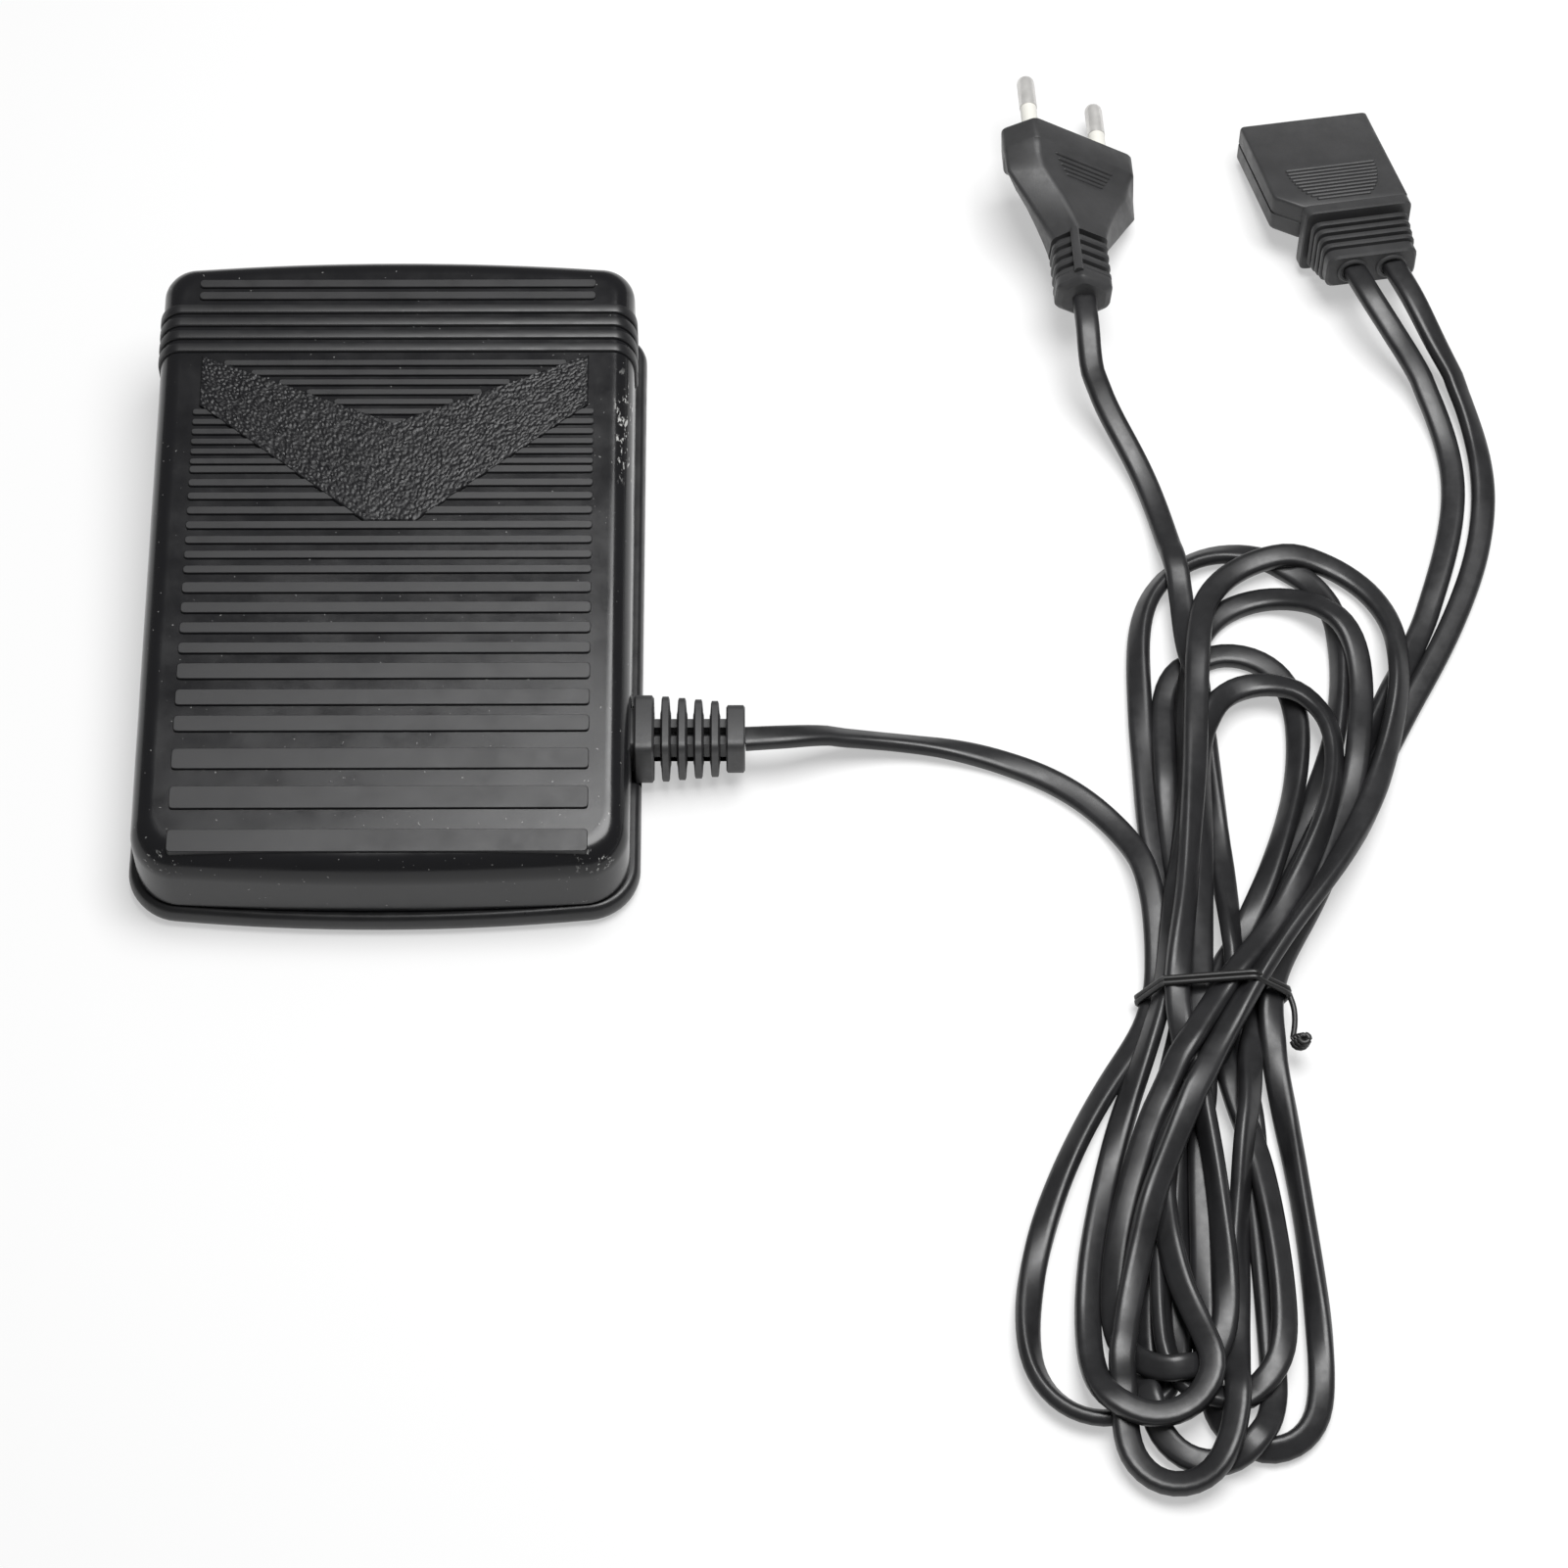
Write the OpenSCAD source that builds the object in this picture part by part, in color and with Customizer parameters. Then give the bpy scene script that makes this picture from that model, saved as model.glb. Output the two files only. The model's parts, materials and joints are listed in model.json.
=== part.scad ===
// Foot pedal of a sewing machine: a hinged treadle on a low base, with a speed
// control inside, two flat cords tied in a hank, a mains plug and a machine connector.
// Millimetres. +X is the side that the cord leaves, +Y is the toe end, +Z is up.

/* [Pedal] */
// Width of the base
pedal_w = 105; // [102:1:110]
// Length of the base
pedal_l = 153; // [151:1:156]
// Height of the treadle at the heel end
heel_h = 22.5; // [22:0.5:24]
// Height of the treadle at the toe end
toe_h = 36.5; // [36:0.5:39]
// Thickness of the treadle's walls
skin = 2; // [1.6:0.1:2.2]
// How far the ends of the treadle bow outwards
bow = 2.2; // [1:0.1:3]

/* [Cord] */
// Width of the flat cord
cord_w = 5.2; // [4.8:0.1:5.6]
// Thickness of the flat cord
cord_t = 3.2; // [3:0.1:3.4]

/* [Plug and connector] */
// Length of the plug's pins
pin_l = 19; // [18:0.5:19]
// Diameter of the plug's pins
pin_d = 4; // [3.9:0.1:4]
// Width of the machine connector
shell_w = 30; // [29:0.5:32]
// Length of the machine connector
shell_l = 31; // [30:0.5:33]

/* [Hidden] */
$fn = 48;
e = 0.01;

// Base
foot_h = 0.8;
floor_t = 2.2;
floor_z = foot_h + floor_t;
rim_h = 5.6;
base_r = 10;
base_bow = 3.3;
foot_x = 40;
foot_ys = [-58, 56];
foot_r = 5;
foot_sink = 0.8;

// Treadle
cover_w = pedal_w - 4;
cover_l = pedal_l - 5.6;
cover_y = -0.8;
cover_r = 9;
plate_t = 2.5;
shoulder = 4.5;
heel_y = cover_y - cover_l / 2;
slope = (toe_h - heel_h) / cover_l;
tilt = atan(slope);
function top_z(y) = heel_h + (y - heel_y) * slope;
function under_z(y) = top_z(y) - plate_t;
skirt_gap = 0.4;
skirt_slope = 0.0787;
function skirt_z(y) = rim_h + skirt_gap + (y - heel_y) * skirt_slope;

// Hinge
hinge_y = -64;
hinge_z = 9.5;
hinge_r = 2;
lug_r = 4;
base_lug_t = 4;
arm_t = 6;
lug_x = 35.5;
press = 4.5;
function drop(y) = (y - hinge_y) * sin(press);

// Wall inside the treadle
wall_t = 1.8;
wall_gap = 0.8;
wall_w = cover_w - 2 * (skin + wall_gap);
wall_l = cover_l - 2 * (skin + wall_gap);
wall_h = 19;
heel_wall_h = 12;
wall_in = wall_w / 2 - wall_t;

// Return springs and rubber stops
spring_x = 24;
spring_y = 44;
spring_r = 5.3;
spring_wire = 0.65;
spring_top = 29;
boss_r = 3.8;
boss_h = 5;
cup_r = 7.5;
stop_x = 34;
stop_y = 60;
stop_post_h = 17;
stop_plug_r = 2;
stop_plug_l = 6;

// Lid over the electronics
lid_t = 1.6;
lid_z = wall_h - lid_t;
lid_w = 2 * wall_in - 1.2;
lid_y0 = -55;
lid_y1 = 26;
post_x = 40;
post_ys = [-50.5, 20];

// Circuit board
board_z = 7;
board_t = 1.6;
board_top = board_z + board_t;
board_x0 = -35;
board_x1 = 28;
board_y0 = -44;
board_y1 = 16;
board_holes = [[-31, -40], [14, -40], [-31, 12], [14, 12]];

// Plunger of the speed control
plunger_x = 35;
plunger_y = 2;
plunger_r = 3.5;
guide_r = 5;
guide_h = 13;
plunger_top = 26.1;
plunger_low = 8.8;
wiper_z = 15.5;

// Strain relief
relief_y = -35.6;
relief_z = 10;
relief_x = cover_w / 2 + 0.5;
relief_end = relief_x + 23;
relief_neck = 10.4;
relief_inner = 44.2;
collar_w = 14.4;
collar_h = 13.8;
collar_l = 4.2;
rib_x = 5.75;
rib_gap = 3.4;
rib_size = 13.8;

// Cord clamp inside the base
clamp_x = 36;
clamp_dy = 8;
clamp_t = 2.6;
cord_in_x = 31;

// Plug and connector, as they lie
plug_at = [146.5, 118.5, 12.6];
plug_turn = [-5, 31];
plug_len = 44;
plug_half = 17.65;
plug_flat = 13.05;
plug_thick = 13.7;
pin_gap = 18.6;
pin_core = 1.4;
tip_l = 9;
root_l = 9;
conn_at = [207.6, 101.5, 16.3];
conn_pitch = -12.4;
conn_roll = 1.4;
conn_yaw = 12.2;
shell_t = 9;
conn_relief_l = 14.5;
conn_relief_x = 2.5;
conn_mid = -7.5;
socket_xs = [-8, 0, 8];
socket_r = 1.6;
socket_l = 22;

// Routes of the cords, chosen by hand: straight out, down to the floor, into the hank
pedal_route = [[relief_end, relief_y, relief_z], [82, -35, 9.8], [89, -33.5, 8], [97, -32, 5],
    [106, -31.5, 2.6], [116, -32.5, 1.6], [126, -35, 1.6], [135, -38.5, 1.6], [143, -43.5, 1.6],
    [150, -50, 2], [155, -57, 3], [158, -64, 4]];
mains_route = [[148.5, 74.7, 15.9], [149, 67, 16], [149.5, 60, 13.5], [151, 54, 10],
    [154, 49, 6.5], [158, 43, 3.4], [161.5, 35, 2], [164, 25, 2.6], [165.5, 15, 5], [167, 5, 7]];
pedal_end_route = [[216, -8, 3], [220, 2, 1.8], [223.6, 12, 1.6], [226.6, 22, 1.6], [228.4, 31, 1.6],
    [228.8, 39, 1.6], [227.8, 47, 2], [225.4, 55, 3.4], [221.4, 63, 6.6], [216.6, 70, 10.4],
    [212, 78, 12.7], [209.1, 85.7, 12.1]];
mains_end_route = [[211, -28, 3], [216.4, -18, 1.8], [222, -8, 1.6], [227, 3, 1.6], [231, 13, 1.6],
    [233.6, 23, 1.6], [235, 33, 1.6], [234.8, 43, 1.8], [233.2, 52, 2.8], [230.2, 60, 5.4],
    [226, 68, 8.8], [221.6, 78, 11.6], [217.9, 87.6, 11.4]];

// Outline of the tied hank, and its waist
hank_h = 14;
hank_y = -95;
waist_w = 26;
waist_x = 168;
hank_line = [[157, -90], [152, -50], [152, -12], [158, 8], [172, 18], [200, 19], [213, 8],
    [216, -10], [210, -40], [182, -90], [181, -101], [187, -132], [188, -170], [182, -196],
    [160, -204], [140, -196], [127, -180], [126, -155], [140, -122], [155, -101]];
tie_t = 1;

plastic = "#1a1a1b";
gloss = "#101011";
pvc = "#2b2c2e";
steel = "#b9bcc0";
brass = "#c9a24a";

// Rounded rectangle whose heel and toe ends bow outwards, as a list of points
function corner(cx, cy, r, a, n) = [for (i = [0:n])
    [cx + r * cos(a + 90 * i / n), cy + r * sin(a + 90 * i / n)]];
function edge_x(w, r, m, s) = [for (i = [1:m - 1]) s * (w / 2 - r) * (1 - 2 * i / m)];
function rounded(w, l, r, n = 6, m = 8) = let (x = w / 2 - r, y = l / 2 - r) concat(
    corner(x, -y, r, -90, n), corner(x, y, r, 0, n),
    [for (v = edge_x(w, r, m, 1)) [v, l / 2]],
    corner(-x, y, r, 90, n), corner(-x, -y, r, 180, n),
    [for (v = edge_x(w, r, m, -1)) [v, -l / 2]]);
function bowed(p, w, b) = [p[0], p[1] + sign(p[1]) * b * (1 - pow(2 * p[0] / w, 2))];
function outline(w, l, r, b = bow) = [for (p = rounded(w, l - 2 * b, r)) bowed(p, w, b)];

module slab(w, l, r, z, h, y = 0, b = bow) {
    translate([0, y, z]) linear_extrude(h) polygon(outline(w, l, r, b));
}

module block(x0, x1, y0, y1, z0, z1) {
    translate([x0, y0, z0]) cube([x1 - x0, y1 - y0, z1 - z0]);
}

module rod(x, y, z0, z1, r) {
    translate([x, y, z0]) cylinder(r = r, h = z1 - z0);
}

module rod_x(x0, x1, y, z, r) {
    translate([x0, y, z]) rotate([0, 90, 0]) cylinder(r = r, h = x1 - x0);
}

module screw(x, y, z, len, shank, head) {
    rod(x, y, z - len, z + e, shank);
    difference() {
        rod(x, y, z, z + 0.7 * head, head);
        translate([x, y, z + 0.45 * head]) cube([1.5 * head, 0.3 * head, head], center = true);
        translate([x, y, z + 0.45 * head]) cube([0.3 * head, 1.5 * head, head], center = true);
    }
}

// Closed solid through rings of points, from the lowest ring to the highest
module loft(rings) {
    n = len(rings[0]);
    k = len(rings);
    pts = [for (ring = rings) for (p = ring) p];
    sides = [for (j = [0:k - 2]) for (i = [0:n - 1])
        [j * n + i, (j + 1) * n + i, (j + 1) * n + (i + 1) % n, j * n + (i + 1) % n]];
    low = [for (i = [0:n - 1]) i];
    high = [for (i = [n - 1:-1:0]) (k - 1) * n + i];
    polyhedron(points = pts, faces = concat([low], sides, [high]), convexity = 6);
}

// Tube along a route, with a smooth line through the route's points
function spline(a, b, c, d, t) = 0.5 * ((2 * b) + (c - a) * t + (2 * a - 5 * b + 4 * c - d) * t * t
    + (3 * b - a - 3 * c + d) * t * t * t);
function pick(r, i) = r[max(0, min(len(r) - 1, i))];
function smooth_line(r, n) = concat([for (i = [0:len(r) - 2]) for (j = [0:n - 1])
    spline(pick(r, i - 1), r[i], r[i + 1], pick(r, i + 2), j / n)], [r[len(r) - 1]]);
function unit(v) = v / norm(v);
function heading(p, i) = unit(pick(p, i + 1) - pick(p, i - 1));
function across(v) = unit([v[1], -v[0], 0]);
function oval(p, v, w, t, n) = let (a = across(v), b = cross(a, v))
    [for (i = [0:n - 1]) p + a * w / 2 * cos(360 * i / n) + b * t / 2 * sin(360 * i / n)];

module flat_cord(route) {
    line = smooth_line(route, 2);
    loft([for (i = [0:len(line) - 1]) oval(line[i], heading(line, i), cord_w, cord_t, 8)]);
}

// Coil spring along Z
module coil(r, wire, z0, z1, turns, steps, sides) {
    rise = z1 - z0 - 2 * wire;
    loft([for (i = [0:turns * steps]) let (a = 360 * i / steps, z = z0 + wire + rise * i / (turns * steps))
        [for (j = [0:sides - 1]) let (q = -360 * j / sides, k = r + wire * cos(q))
            [k * cos(a), k * sin(a), z + wire * sin(q)]]]);
}

module base_wall() {
    difference() {
        slab(wall_w, wall_l, 6, floor_z - e, wall_h - floor_z + e, cover_y);
        slab(wall_w - 2 * wall_t, wall_l - 2 * wall_t, 4.2, floor_z - 1, wall_h, cover_y);
        block(-wall_w, wall_w, -pedal_l, hinge_y + 8, heel_wall_h, wall_h + 1);
        // Slot for the strain relief, open at the top
        block(wall_in - 2, wall_w, relief_y - relief_neck / 2, relief_y + relief_neck / 2,
            relief_z - relief_neck / 2, wall_h + 1);
    }
}

module base_rim() {
    difference() {
        union() {
            slab(pedal_w - 1, pedal_l - 1, base_r, foot_h, rim_h - foot_h, 0, base_bow);
            slab(pedal_w, pedal_l, base_r, foot_h + 1.6, 1.6, 0, base_bow);
        }
        slab(pedal_w - 7, pedal_l - 9, base_r - 3, floor_z, rim_h, 0, base_bow);
        block(wall_w / 2 + 1, pedal_w, relief_y - 8, relief_y + 11, floor_z, rim_h + 1);
    }
}

module base_tray() color(plastic) difference() {
    union() {
        base_rim();
        base_wall();
        for (s = [-1, 1]) {
            for (x = [lug_x - arm_t / 2 - base_lug_t - 0.4, lug_x + arm_t / 2 + 0.4]) {
                x0 = s > 0 ? x : -x - base_lug_t;
                block(x0, x0 + base_lug_t, hinge_y - lug_r, hinge_y + lug_r, floor_z - e, hinge_z);
                rod_x(x0, x0 + base_lug_t, hinge_y, hinge_z, lug_r);
            }
            rod(s * spring_x, spring_y, floor_z - e, floor_z + boss_h, boss_r);
            rod(s * stop_x, stop_y, floor_z - e, stop_post_h, 4);
            for (y = post_ys) rod(s * post_x, y, floor_z - e, lid_z, 3.5);
            rod(clamp_x, relief_y + s * clamp_dy, floor_z - e, relief_z + cord_t / 2, 3);
        }
        for (h = board_holes) rod(h[0], h[1], floor_z - e, board_z, 3);
        rod(plunger_x, plunger_y, floor_z - e, guide_h, guide_r);
        block(clamp_x - 4, clamp_x + 4, relief_y - 4, relief_y + 4, floor_z - e, relief_z - cord_t / 2);
    }
    for (s = [-1, 1]) {
        rod_x(s > 0 ? 20 : -50, s > 0 ? 50 : -20, hinge_y, hinge_z, hinge_r);
        rod(s * stop_x, stop_y, stop_post_h - stop_plug_l, stop_post_h + 1, stop_plug_r);
        for (y = post_ys) rod(s * post_x, y, 8, lid_z + 1, 1.2);
        rod(clamp_x, relief_y + s * clamp_dy, 5, 14, 1);
        for (y = foot_ys) rod(s * foot_x, y, foot_h - 1, foot_h + foot_sink, foot_r);
    }
    for (h = board_holes) rod(h[0], h[1], floor_z + 1, board_z + 1, 0.9);
    rod(plunger_x, plunger_y, floor_z, guide_h + 1, plunger_r + 0.05);
    block(plunger_x - guide_r - 1, plunger_x, plunger_y - 2, plunger_y + 2, floor_z + 6, guide_h + 1);
}

module rubber_feet() color("#2a2a2a") for (s = [-1, 1]) for (y = foot_ys) {
    rod(s * foot_x, y, 0, foot_h + foot_sink, foot_r);
}

module bump_stops() color("#3a3a38") for (s = [-1, 1]) {
    rod(s * stop_x, stop_y, stop_post_h - stop_plug_l, stop_post_h + e, stop_plug_r);
    rod(s * stop_x, stop_y, stop_post_h, under_z(stop_y) - drop(stop_y) - 0.5, boss_r);
}

// One ring of the treadle's skin: inset from the outside, and down from the top or at the skirt
function skin_ring(inset, r, down, foot) = [
    for (p = outline(cover_w - 2 * inset, cover_l - 2 * inset, r)) let (y = p[1] + cover_y)
        [p[0], y, foot ? skirt_z(y) - down : top_z(y) - down]];

module treadle_shell() difference() {
    loft(concat([skin_ring(0, cover_r, 0, true)],
        [for (a = [0:22.5:90]) let (inset = shoulder * (1 - cos(a)))
            skin_ring(inset, cover_r - inset / 2, shoulder * (1 - sin(a)), false)]));
    loft([skin_ring(skin, cover_r - skin, 2, true), skin_ring(skin, cover_r - skin, plate_t + 2.5, false),
        skin_ring(skin + 0.8, cover_r - skin - 0.4, plate_t + 0.8, false),
        skin_ring(skin + 2.6, cover_r - skin - 1.5, plate_t, false)]);
}

// Rows of raised bars: heel edge of the first bar, how many, pitch and bar length along Y
bar_rows = [[-72.3, 1, 9, 6.7], [-60.9, 1, 9, 5], [-52, 1, 8, 4.6], [-43.5, 3, 6, 3.6],
    [-25.6, 4, 4.7, 2.5], [-6.9, 5, 3.5, 1.8], [10.6, 3, 3.2, 1.7], [19.1, 6, 2.4, 1.4],
    [46.6, 4, 3.2, 2.2], [59.6, 2, 3, 1.9]];
bar_h = 0.5;
bar_half = 42.3;

module on_top() translate([0, heel_y, heel_h]) rotate([tilt, 0, 0]) children();

module treadle_bars() on_top() for (row = bar_rows) for (i = [0:row[1] - 1]) {
    y = row[0] + i * row[2] - heel_y;
    block(-bar_half, bar_half, y, y + row[3], -0.3, bar_h);
}

module treadle_chevron() on_top() translate([0, -heel_y, -0.3]) linear_extrude(bar_h + 0.4)
    polygon([[-5.3, 5.4], [5.3, 5.4], [41, 33.4], [41, 45.6], [0, 29], [-41, 45.6], [-41, 33.4]]);

module treadle_cover() color(gloss) difference() {
    union() {
        treadle_shell();
        treadle_bars();
        treadle_chevron();
        for (s = [-1, 1]) {
            rod_x(s * lug_x - arm_t / 2, s * lug_x + arm_t / 2, hinge_y, hinge_z, lug_r);
            block(s * lug_x - arm_t / 2, s * lug_x + arm_t / 2, hinge_y - lug_r, hinge_y + lug_r,
                hinge_z, under_z(hinge_y) + 1);
            rod(s * spring_x, spring_y, spring_top, under_z(spring_y) + 1, cup_r);
            rod(s * spring_x, spring_y, spring_top - boss_h, spring_top + e, boss_r);
        }
        rod(plunger_x, plunger_y, plunger_top + 0.4, under_z(plunger_y) + 1, 3);
    }
    for (s = [-1, 1]) rod_x(s * lug_x - arm_t, s * lug_x + arm_t, hinge_y, hinge_z, hinge_r + 0.05);
    // Opening for the strain relief
    block(cover_w / 2 - skin - 1, cover_w, relief_y - 6.2, relief_y + 6.2,
        0, relief_z + relief_neck / 2 + 3.2);
}

module hinge_pins() color(steel) for (s = [-1, 1])
    rod_x(s * lug_x - 9, s * lug_x + 9, hinge_y, hinge_z, hinge_r);

module return_springs() color(steel) for (s = [-1, 1]) translate([s * spring_x, spring_y, 0])
    coil(spring_r, spring_wire, floor_z, spring_top, 7, 14, 6);

module inner_lid() color(plastic) difference() {
    union() {
        block(-lid_w / 2, lid_w / 2, lid_y0, lid_y1, lid_z, wall_h);
        rod(plunger_x, plunger_y, lid_z, wall_h, 6);
    }
    for (s = [-1, 1]) for (y = post_ys) rod(s * post_x, y, lid_z - 1, wall_h + 1, 1.6);
    rod(plunger_x, plunger_y, lid_z - 1, wall_h + 2, plunger_r + 0.05);
}

module lid_screws() color(steel) for (s = [-1, 1]) for (y = post_ys)
    screw(s * post_x, y, wall_h, 8, 1.2, 2.4);

module main_board() color("#3c6b3a") difference() {
    block(board_x0, board_x1, board_y0, board_y1, board_z, board_top);
    for (h = board_holes) rod(h[0], h[1], board_z - 1, board_top + 1, 1.3);
}

module board_screws() color(steel) for (h = board_holes) screw(h[0], h[1], board_top, 3.6, 0.9, 2);

module track_board() color("#6b4a2a") block(26.4, 27.6, -6, 10, board_top, 17);

module plunger() color("#e9e7df") difference() {
    union() {
        rod(plunger_x, plunger_y, plunger_low, plunger_top - 1, plunger_r);
        rod(plunger_x, plunger_y, plunger_top - 1.6, plunger_top, 5);
    }
    rod(plunger_x, plunger_y, plunger_low - 1, 22, 2.4);
}

module plunger_spring() color(steel) translate([plunger_x, plunger_y, 0])
    coil(1.85, 0.3, floor_z, 22, 9, 12, 5);

module wiper() color(brass) {
    block(plunger_x - plunger_r - 3.4, plunger_x - plunger_r + 0.02, plunger_y - 1.5, plunger_y + 1.5,
        wiper_z, wiper_z + 0.4);
    block(plunger_x - plunger_r - 3.8, plunger_x - plunger_r - 3.3, plunger_y - 1.5, plunger_y + 1.5,
        wiper_z - 1.2, wiper_z + 1);
}

module heat_sink() color("#a9adb1") {
    block(-26, 6, -2, 8, board_top, board_top + 1.5);
    for (y = [-2, 7]) block(-26, 6, y, y + 1, board_top + 1.4, board_top + 8);
}

module triac() color("#222222") {
    block(-20, -11, 0, 6, board_top + 1.5, board_top + 5.5);
    block(-11, -5, 0, 6, board_top + 1.5, board_top + 2.8);
    for (y = [1, 3, 5]) rod_x(-24, -20 + e, y, board_top + 3, 0.4);
}

module triac_screw() color(steel) {
    rod(-7.5, 3, board_top + 2.8, board_top + 4.6, 2.2);
}

module choke_core() color("#4c4f55") translate([-22, -26, board_top]) rotate_extrude()
    translate([5, 0.8]) square([4.5, 6.4]);

module choke_winding() color("#b5652d") translate([-22, -26, board_top]) for (a = [10, 190])
    rotate([0, 0, a]) rotate_extrude(angle = 150) difference() {
        translate([4.2, 0]) square([6.1, 8]);
        translate([5, 0.8]) square([4.5, 6.4]);
    }

module capacitor() color("#c9b13a") block(-10, 8, -42, -34, board_top, board_top + 8);

module resistors() color("#c8a77a") for (x = [-8, -2, 4]) {
    translate([x, -27, board_top + 1.6]) rotate([-90, 0, 0]) cylinder(r = 1.5, h = 8);
    for (y = [-27.6, -18.4]) rod(x, y - 0.2, board_top, board_top + 1.9, 0.35);
    translate([x, -28, board_top + 1.6]) rotate([-90, 0, 0]) cylinder(r = 0.35, h = 9.6);
}

module speed_trimmer() color("#3a66b0") difference() {
    block(10, 19, -24, -15, board_top, board_top + 5);
    rod(14.5, -19.5, board_top + 4, board_top + 6, 2);
}

module fuse() color("#d8dad6") rod_x(-6, 14, -10, board_top + 4, 2.5);

module fuse_clips() color(brass) for (x = [-4.5, 9.5]) difference() {
    block(x, x + 3, -13, -7, board_top, board_top + 6);
    rod_x(x - 1, x + 4, -10, board_top + 4, 2.5);
    block(x - 1, x + 4, -12, -8, board_top + 4, board_top + 7);
}

module terminal_block() color("#3f7a4c") difference() {
    block(19, 28, -43, -29, board_top, board_top + 8.4);
    for (y = [-39.5, -32.5]) rod_x(24, 30, y, board_top + 3, 1.2);
    for (y = [-39.5, -32.5]) rod(23.5, y, board_top + 4.5, board_top + 9, 1.8);
}

module cord_clamp() color(plastic) difference() {
    block(clamp_x - 3, clamp_x + 3, relief_y - clamp_dy - 3, relief_y + clamp_dy + 3,
        relief_z + cord_t / 2, relief_z + cord_t / 2 + clamp_t);
    for (s = [-1, 1]) rod(clamp_x, relief_y + s * clamp_dy, 10, 16, 1.3);
}

module clamp_screws() color(steel) for (s = [-1, 1])
    screw(clamp_x, relief_y + s * clamp_dy, relief_z + cord_t / 2 + clamp_t, 7.5, 1, 2);

module inner_cord() color(plastic) block(cord_in_x, relief_inner, relief_y - cord_w / 2,
    relief_y + cord_w / 2, relief_z - cord_t / 2, relief_z + cord_t / 2);

module lead_wires() for (s = [-1, 1]) color(s > 0 ? "#2f6fb5" : "#7a4a24") {
    loft([for (t = [0:0.2:1]) let (x = cord_in_x - 5.5 * t, y = relief_y + s * (1.3 + 2.2 * t),
        z = relief_z + (board_top + 3 - relief_z) * t)
        [for (i = [0:7]) [x, y - 0.95 * sin(45 * i), z + 0.95 * cos(45 * i)]]]);
}

// Strain relief: flange inside the case, neck, collar, four ribs, end collar and spine
module relief_plate(x0, x1, w, h) translate([x0, relief_y, relief_z]) rotate([90, 0, 90])
    linear_extrude(x1 - x0) polygon(rounded(w, h, 2.2, 4, 1));

module strain_relief() color(pvc) {
    relief_plate(relief_inner, wall_in, 14, 12);
    relief_plate(wall_in - e, relief_x + e, relief_neck, relief_neck);
    relief_plate(relief_x, relief_x + collar_l, collar_w, collar_h);
    for (i = [0:3]) let (x = relief_x + rib_x + rib_gap * i, size = rib_size - 0.45 * i)
        relief_plate(x, x + 1.6, size, size);
    relief_plate(relief_end - 3.9, relief_end, 11.2, 11.2);
    relief_plate(relief_x + 3.7, relief_end - 3.8, 7, 7);
}

module pedal_cord() color(plastic) flat_cord(pedal_route);

module pedal_cord_end() color(plastic) flat_cord(pedal_end_route);

module mains_cord() color(plastic) flat_cord(mains_route);

module mains_cord_end() color(plastic) flat_cord(mains_end_route);

module cord_hank() color(plastic) difference() {
    linear_extrude(hank_h) offset(r = 5) offset(delta = -5) polygon(hank_line);
    block(waist_x - waist_w, waist_x + waist_w, hank_y - 1.2, hank_y + 1.2, -1, tie_t);
    block(waist_x - waist_w, waist_x + waist_w, hank_y - 1.2, hank_y + 1.2, hank_h - tie_t, hank_h + 1);
    for (s = [-1, 1]) block(waist_x + s * (waist_w / 2 + 9) - 10, waist_x + s * (waist_w / 2 + 9) + 10,
        hank_y - 1.2, hank_y + 1.2, -1, hank_h + 1);
}

module bundle_tie() color("#0c0c0c") {
    difference() {
        block(waist_x - waist_w / 2, waist_x + waist_w / 2, hank_y - 1, hank_y + 1, 0, hank_h);
        block(waist_x - waist_w / 2 + tie_t, waist_x + waist_w / 2 - tie_t, hank_y - 2, hank_y + 2,
            tie_t, hank_h - tie_t);
    }
    block(waist_x + waist_w / 2 - e, waist_x + waist_w / 2 + 4, hank_y - 1, hank_y + 1, 2, 5);
}

module plug_place() translate(plug_at) rotate([0, plug_turn[1], 0])
    rotate([plug_turn[0], 0, 0]) children();

// Hexagonal section of the plug, scaled to a half width and a half thickness
module plug_slice(y, half, flat, thick, len) translate([0, y, 0]) rotate([90, 0, 0]) linear_extrude(len)
    polygon([[-half, 0], [-flat, -thick / 2], [flat, -thick / 2], [half, 0], [flat, thick / 2],
        [-flat, thick / 2]]);

module plug_body() color(pvc) plug_place() difference() {
    union() {
        plug_slice(0, plug_half, plug_flat, plug_thick, 13);
        hull() {
            plug_slice(-12.9, plug_half, plug_flat, plug_thick, 0.1);
            plug_slice(-29, 7, 4, 12, 0.1);
        }
        plug_slice(-29, 6, 3, 9, 12);
        for (i = [0:3]) plug_slice(-29 - 2.9 * i, 7, 4, 11.6, 1.7);
        plug_slice(-plug_len + 3.8, 7, 4, 11.4, 3.8);
    }
    for (s = [-1, 1]) translate([s * pin_gap / 2, -root_l, 0]) rotate([-90, 0, 0])
        cylinder(r = pin_core, h = root_l + 3);
}

module plug_pins() color(steel) plug_place() for (s = [-1, 1]) {
    translate([s * pin_gap / 2, -root_l, 0]) rotate([-90, 0, 0])
        cylinder(r = pin_core, h = root_l + pin_l - tip_l + 1);
    translate([s * pin_gap / 2, pin_l - tip_l, 0]) rotate([-90, 0, 0]) cylinder(d = pin_d, h = tip_l);
}

module pin_sleeves() color("#e9e7e2") plug_place() for (s = [-1, 1])
    translate([s * pin_gap / 2, 0, 0]) rotate([-90, 0, 0]) difference() {
        cylinder(d = pin_d, h = pin_l - tip_l);
        translate([0, 0, -1]) cylinder(r = pin_core, h = pin_l);
    }

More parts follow.
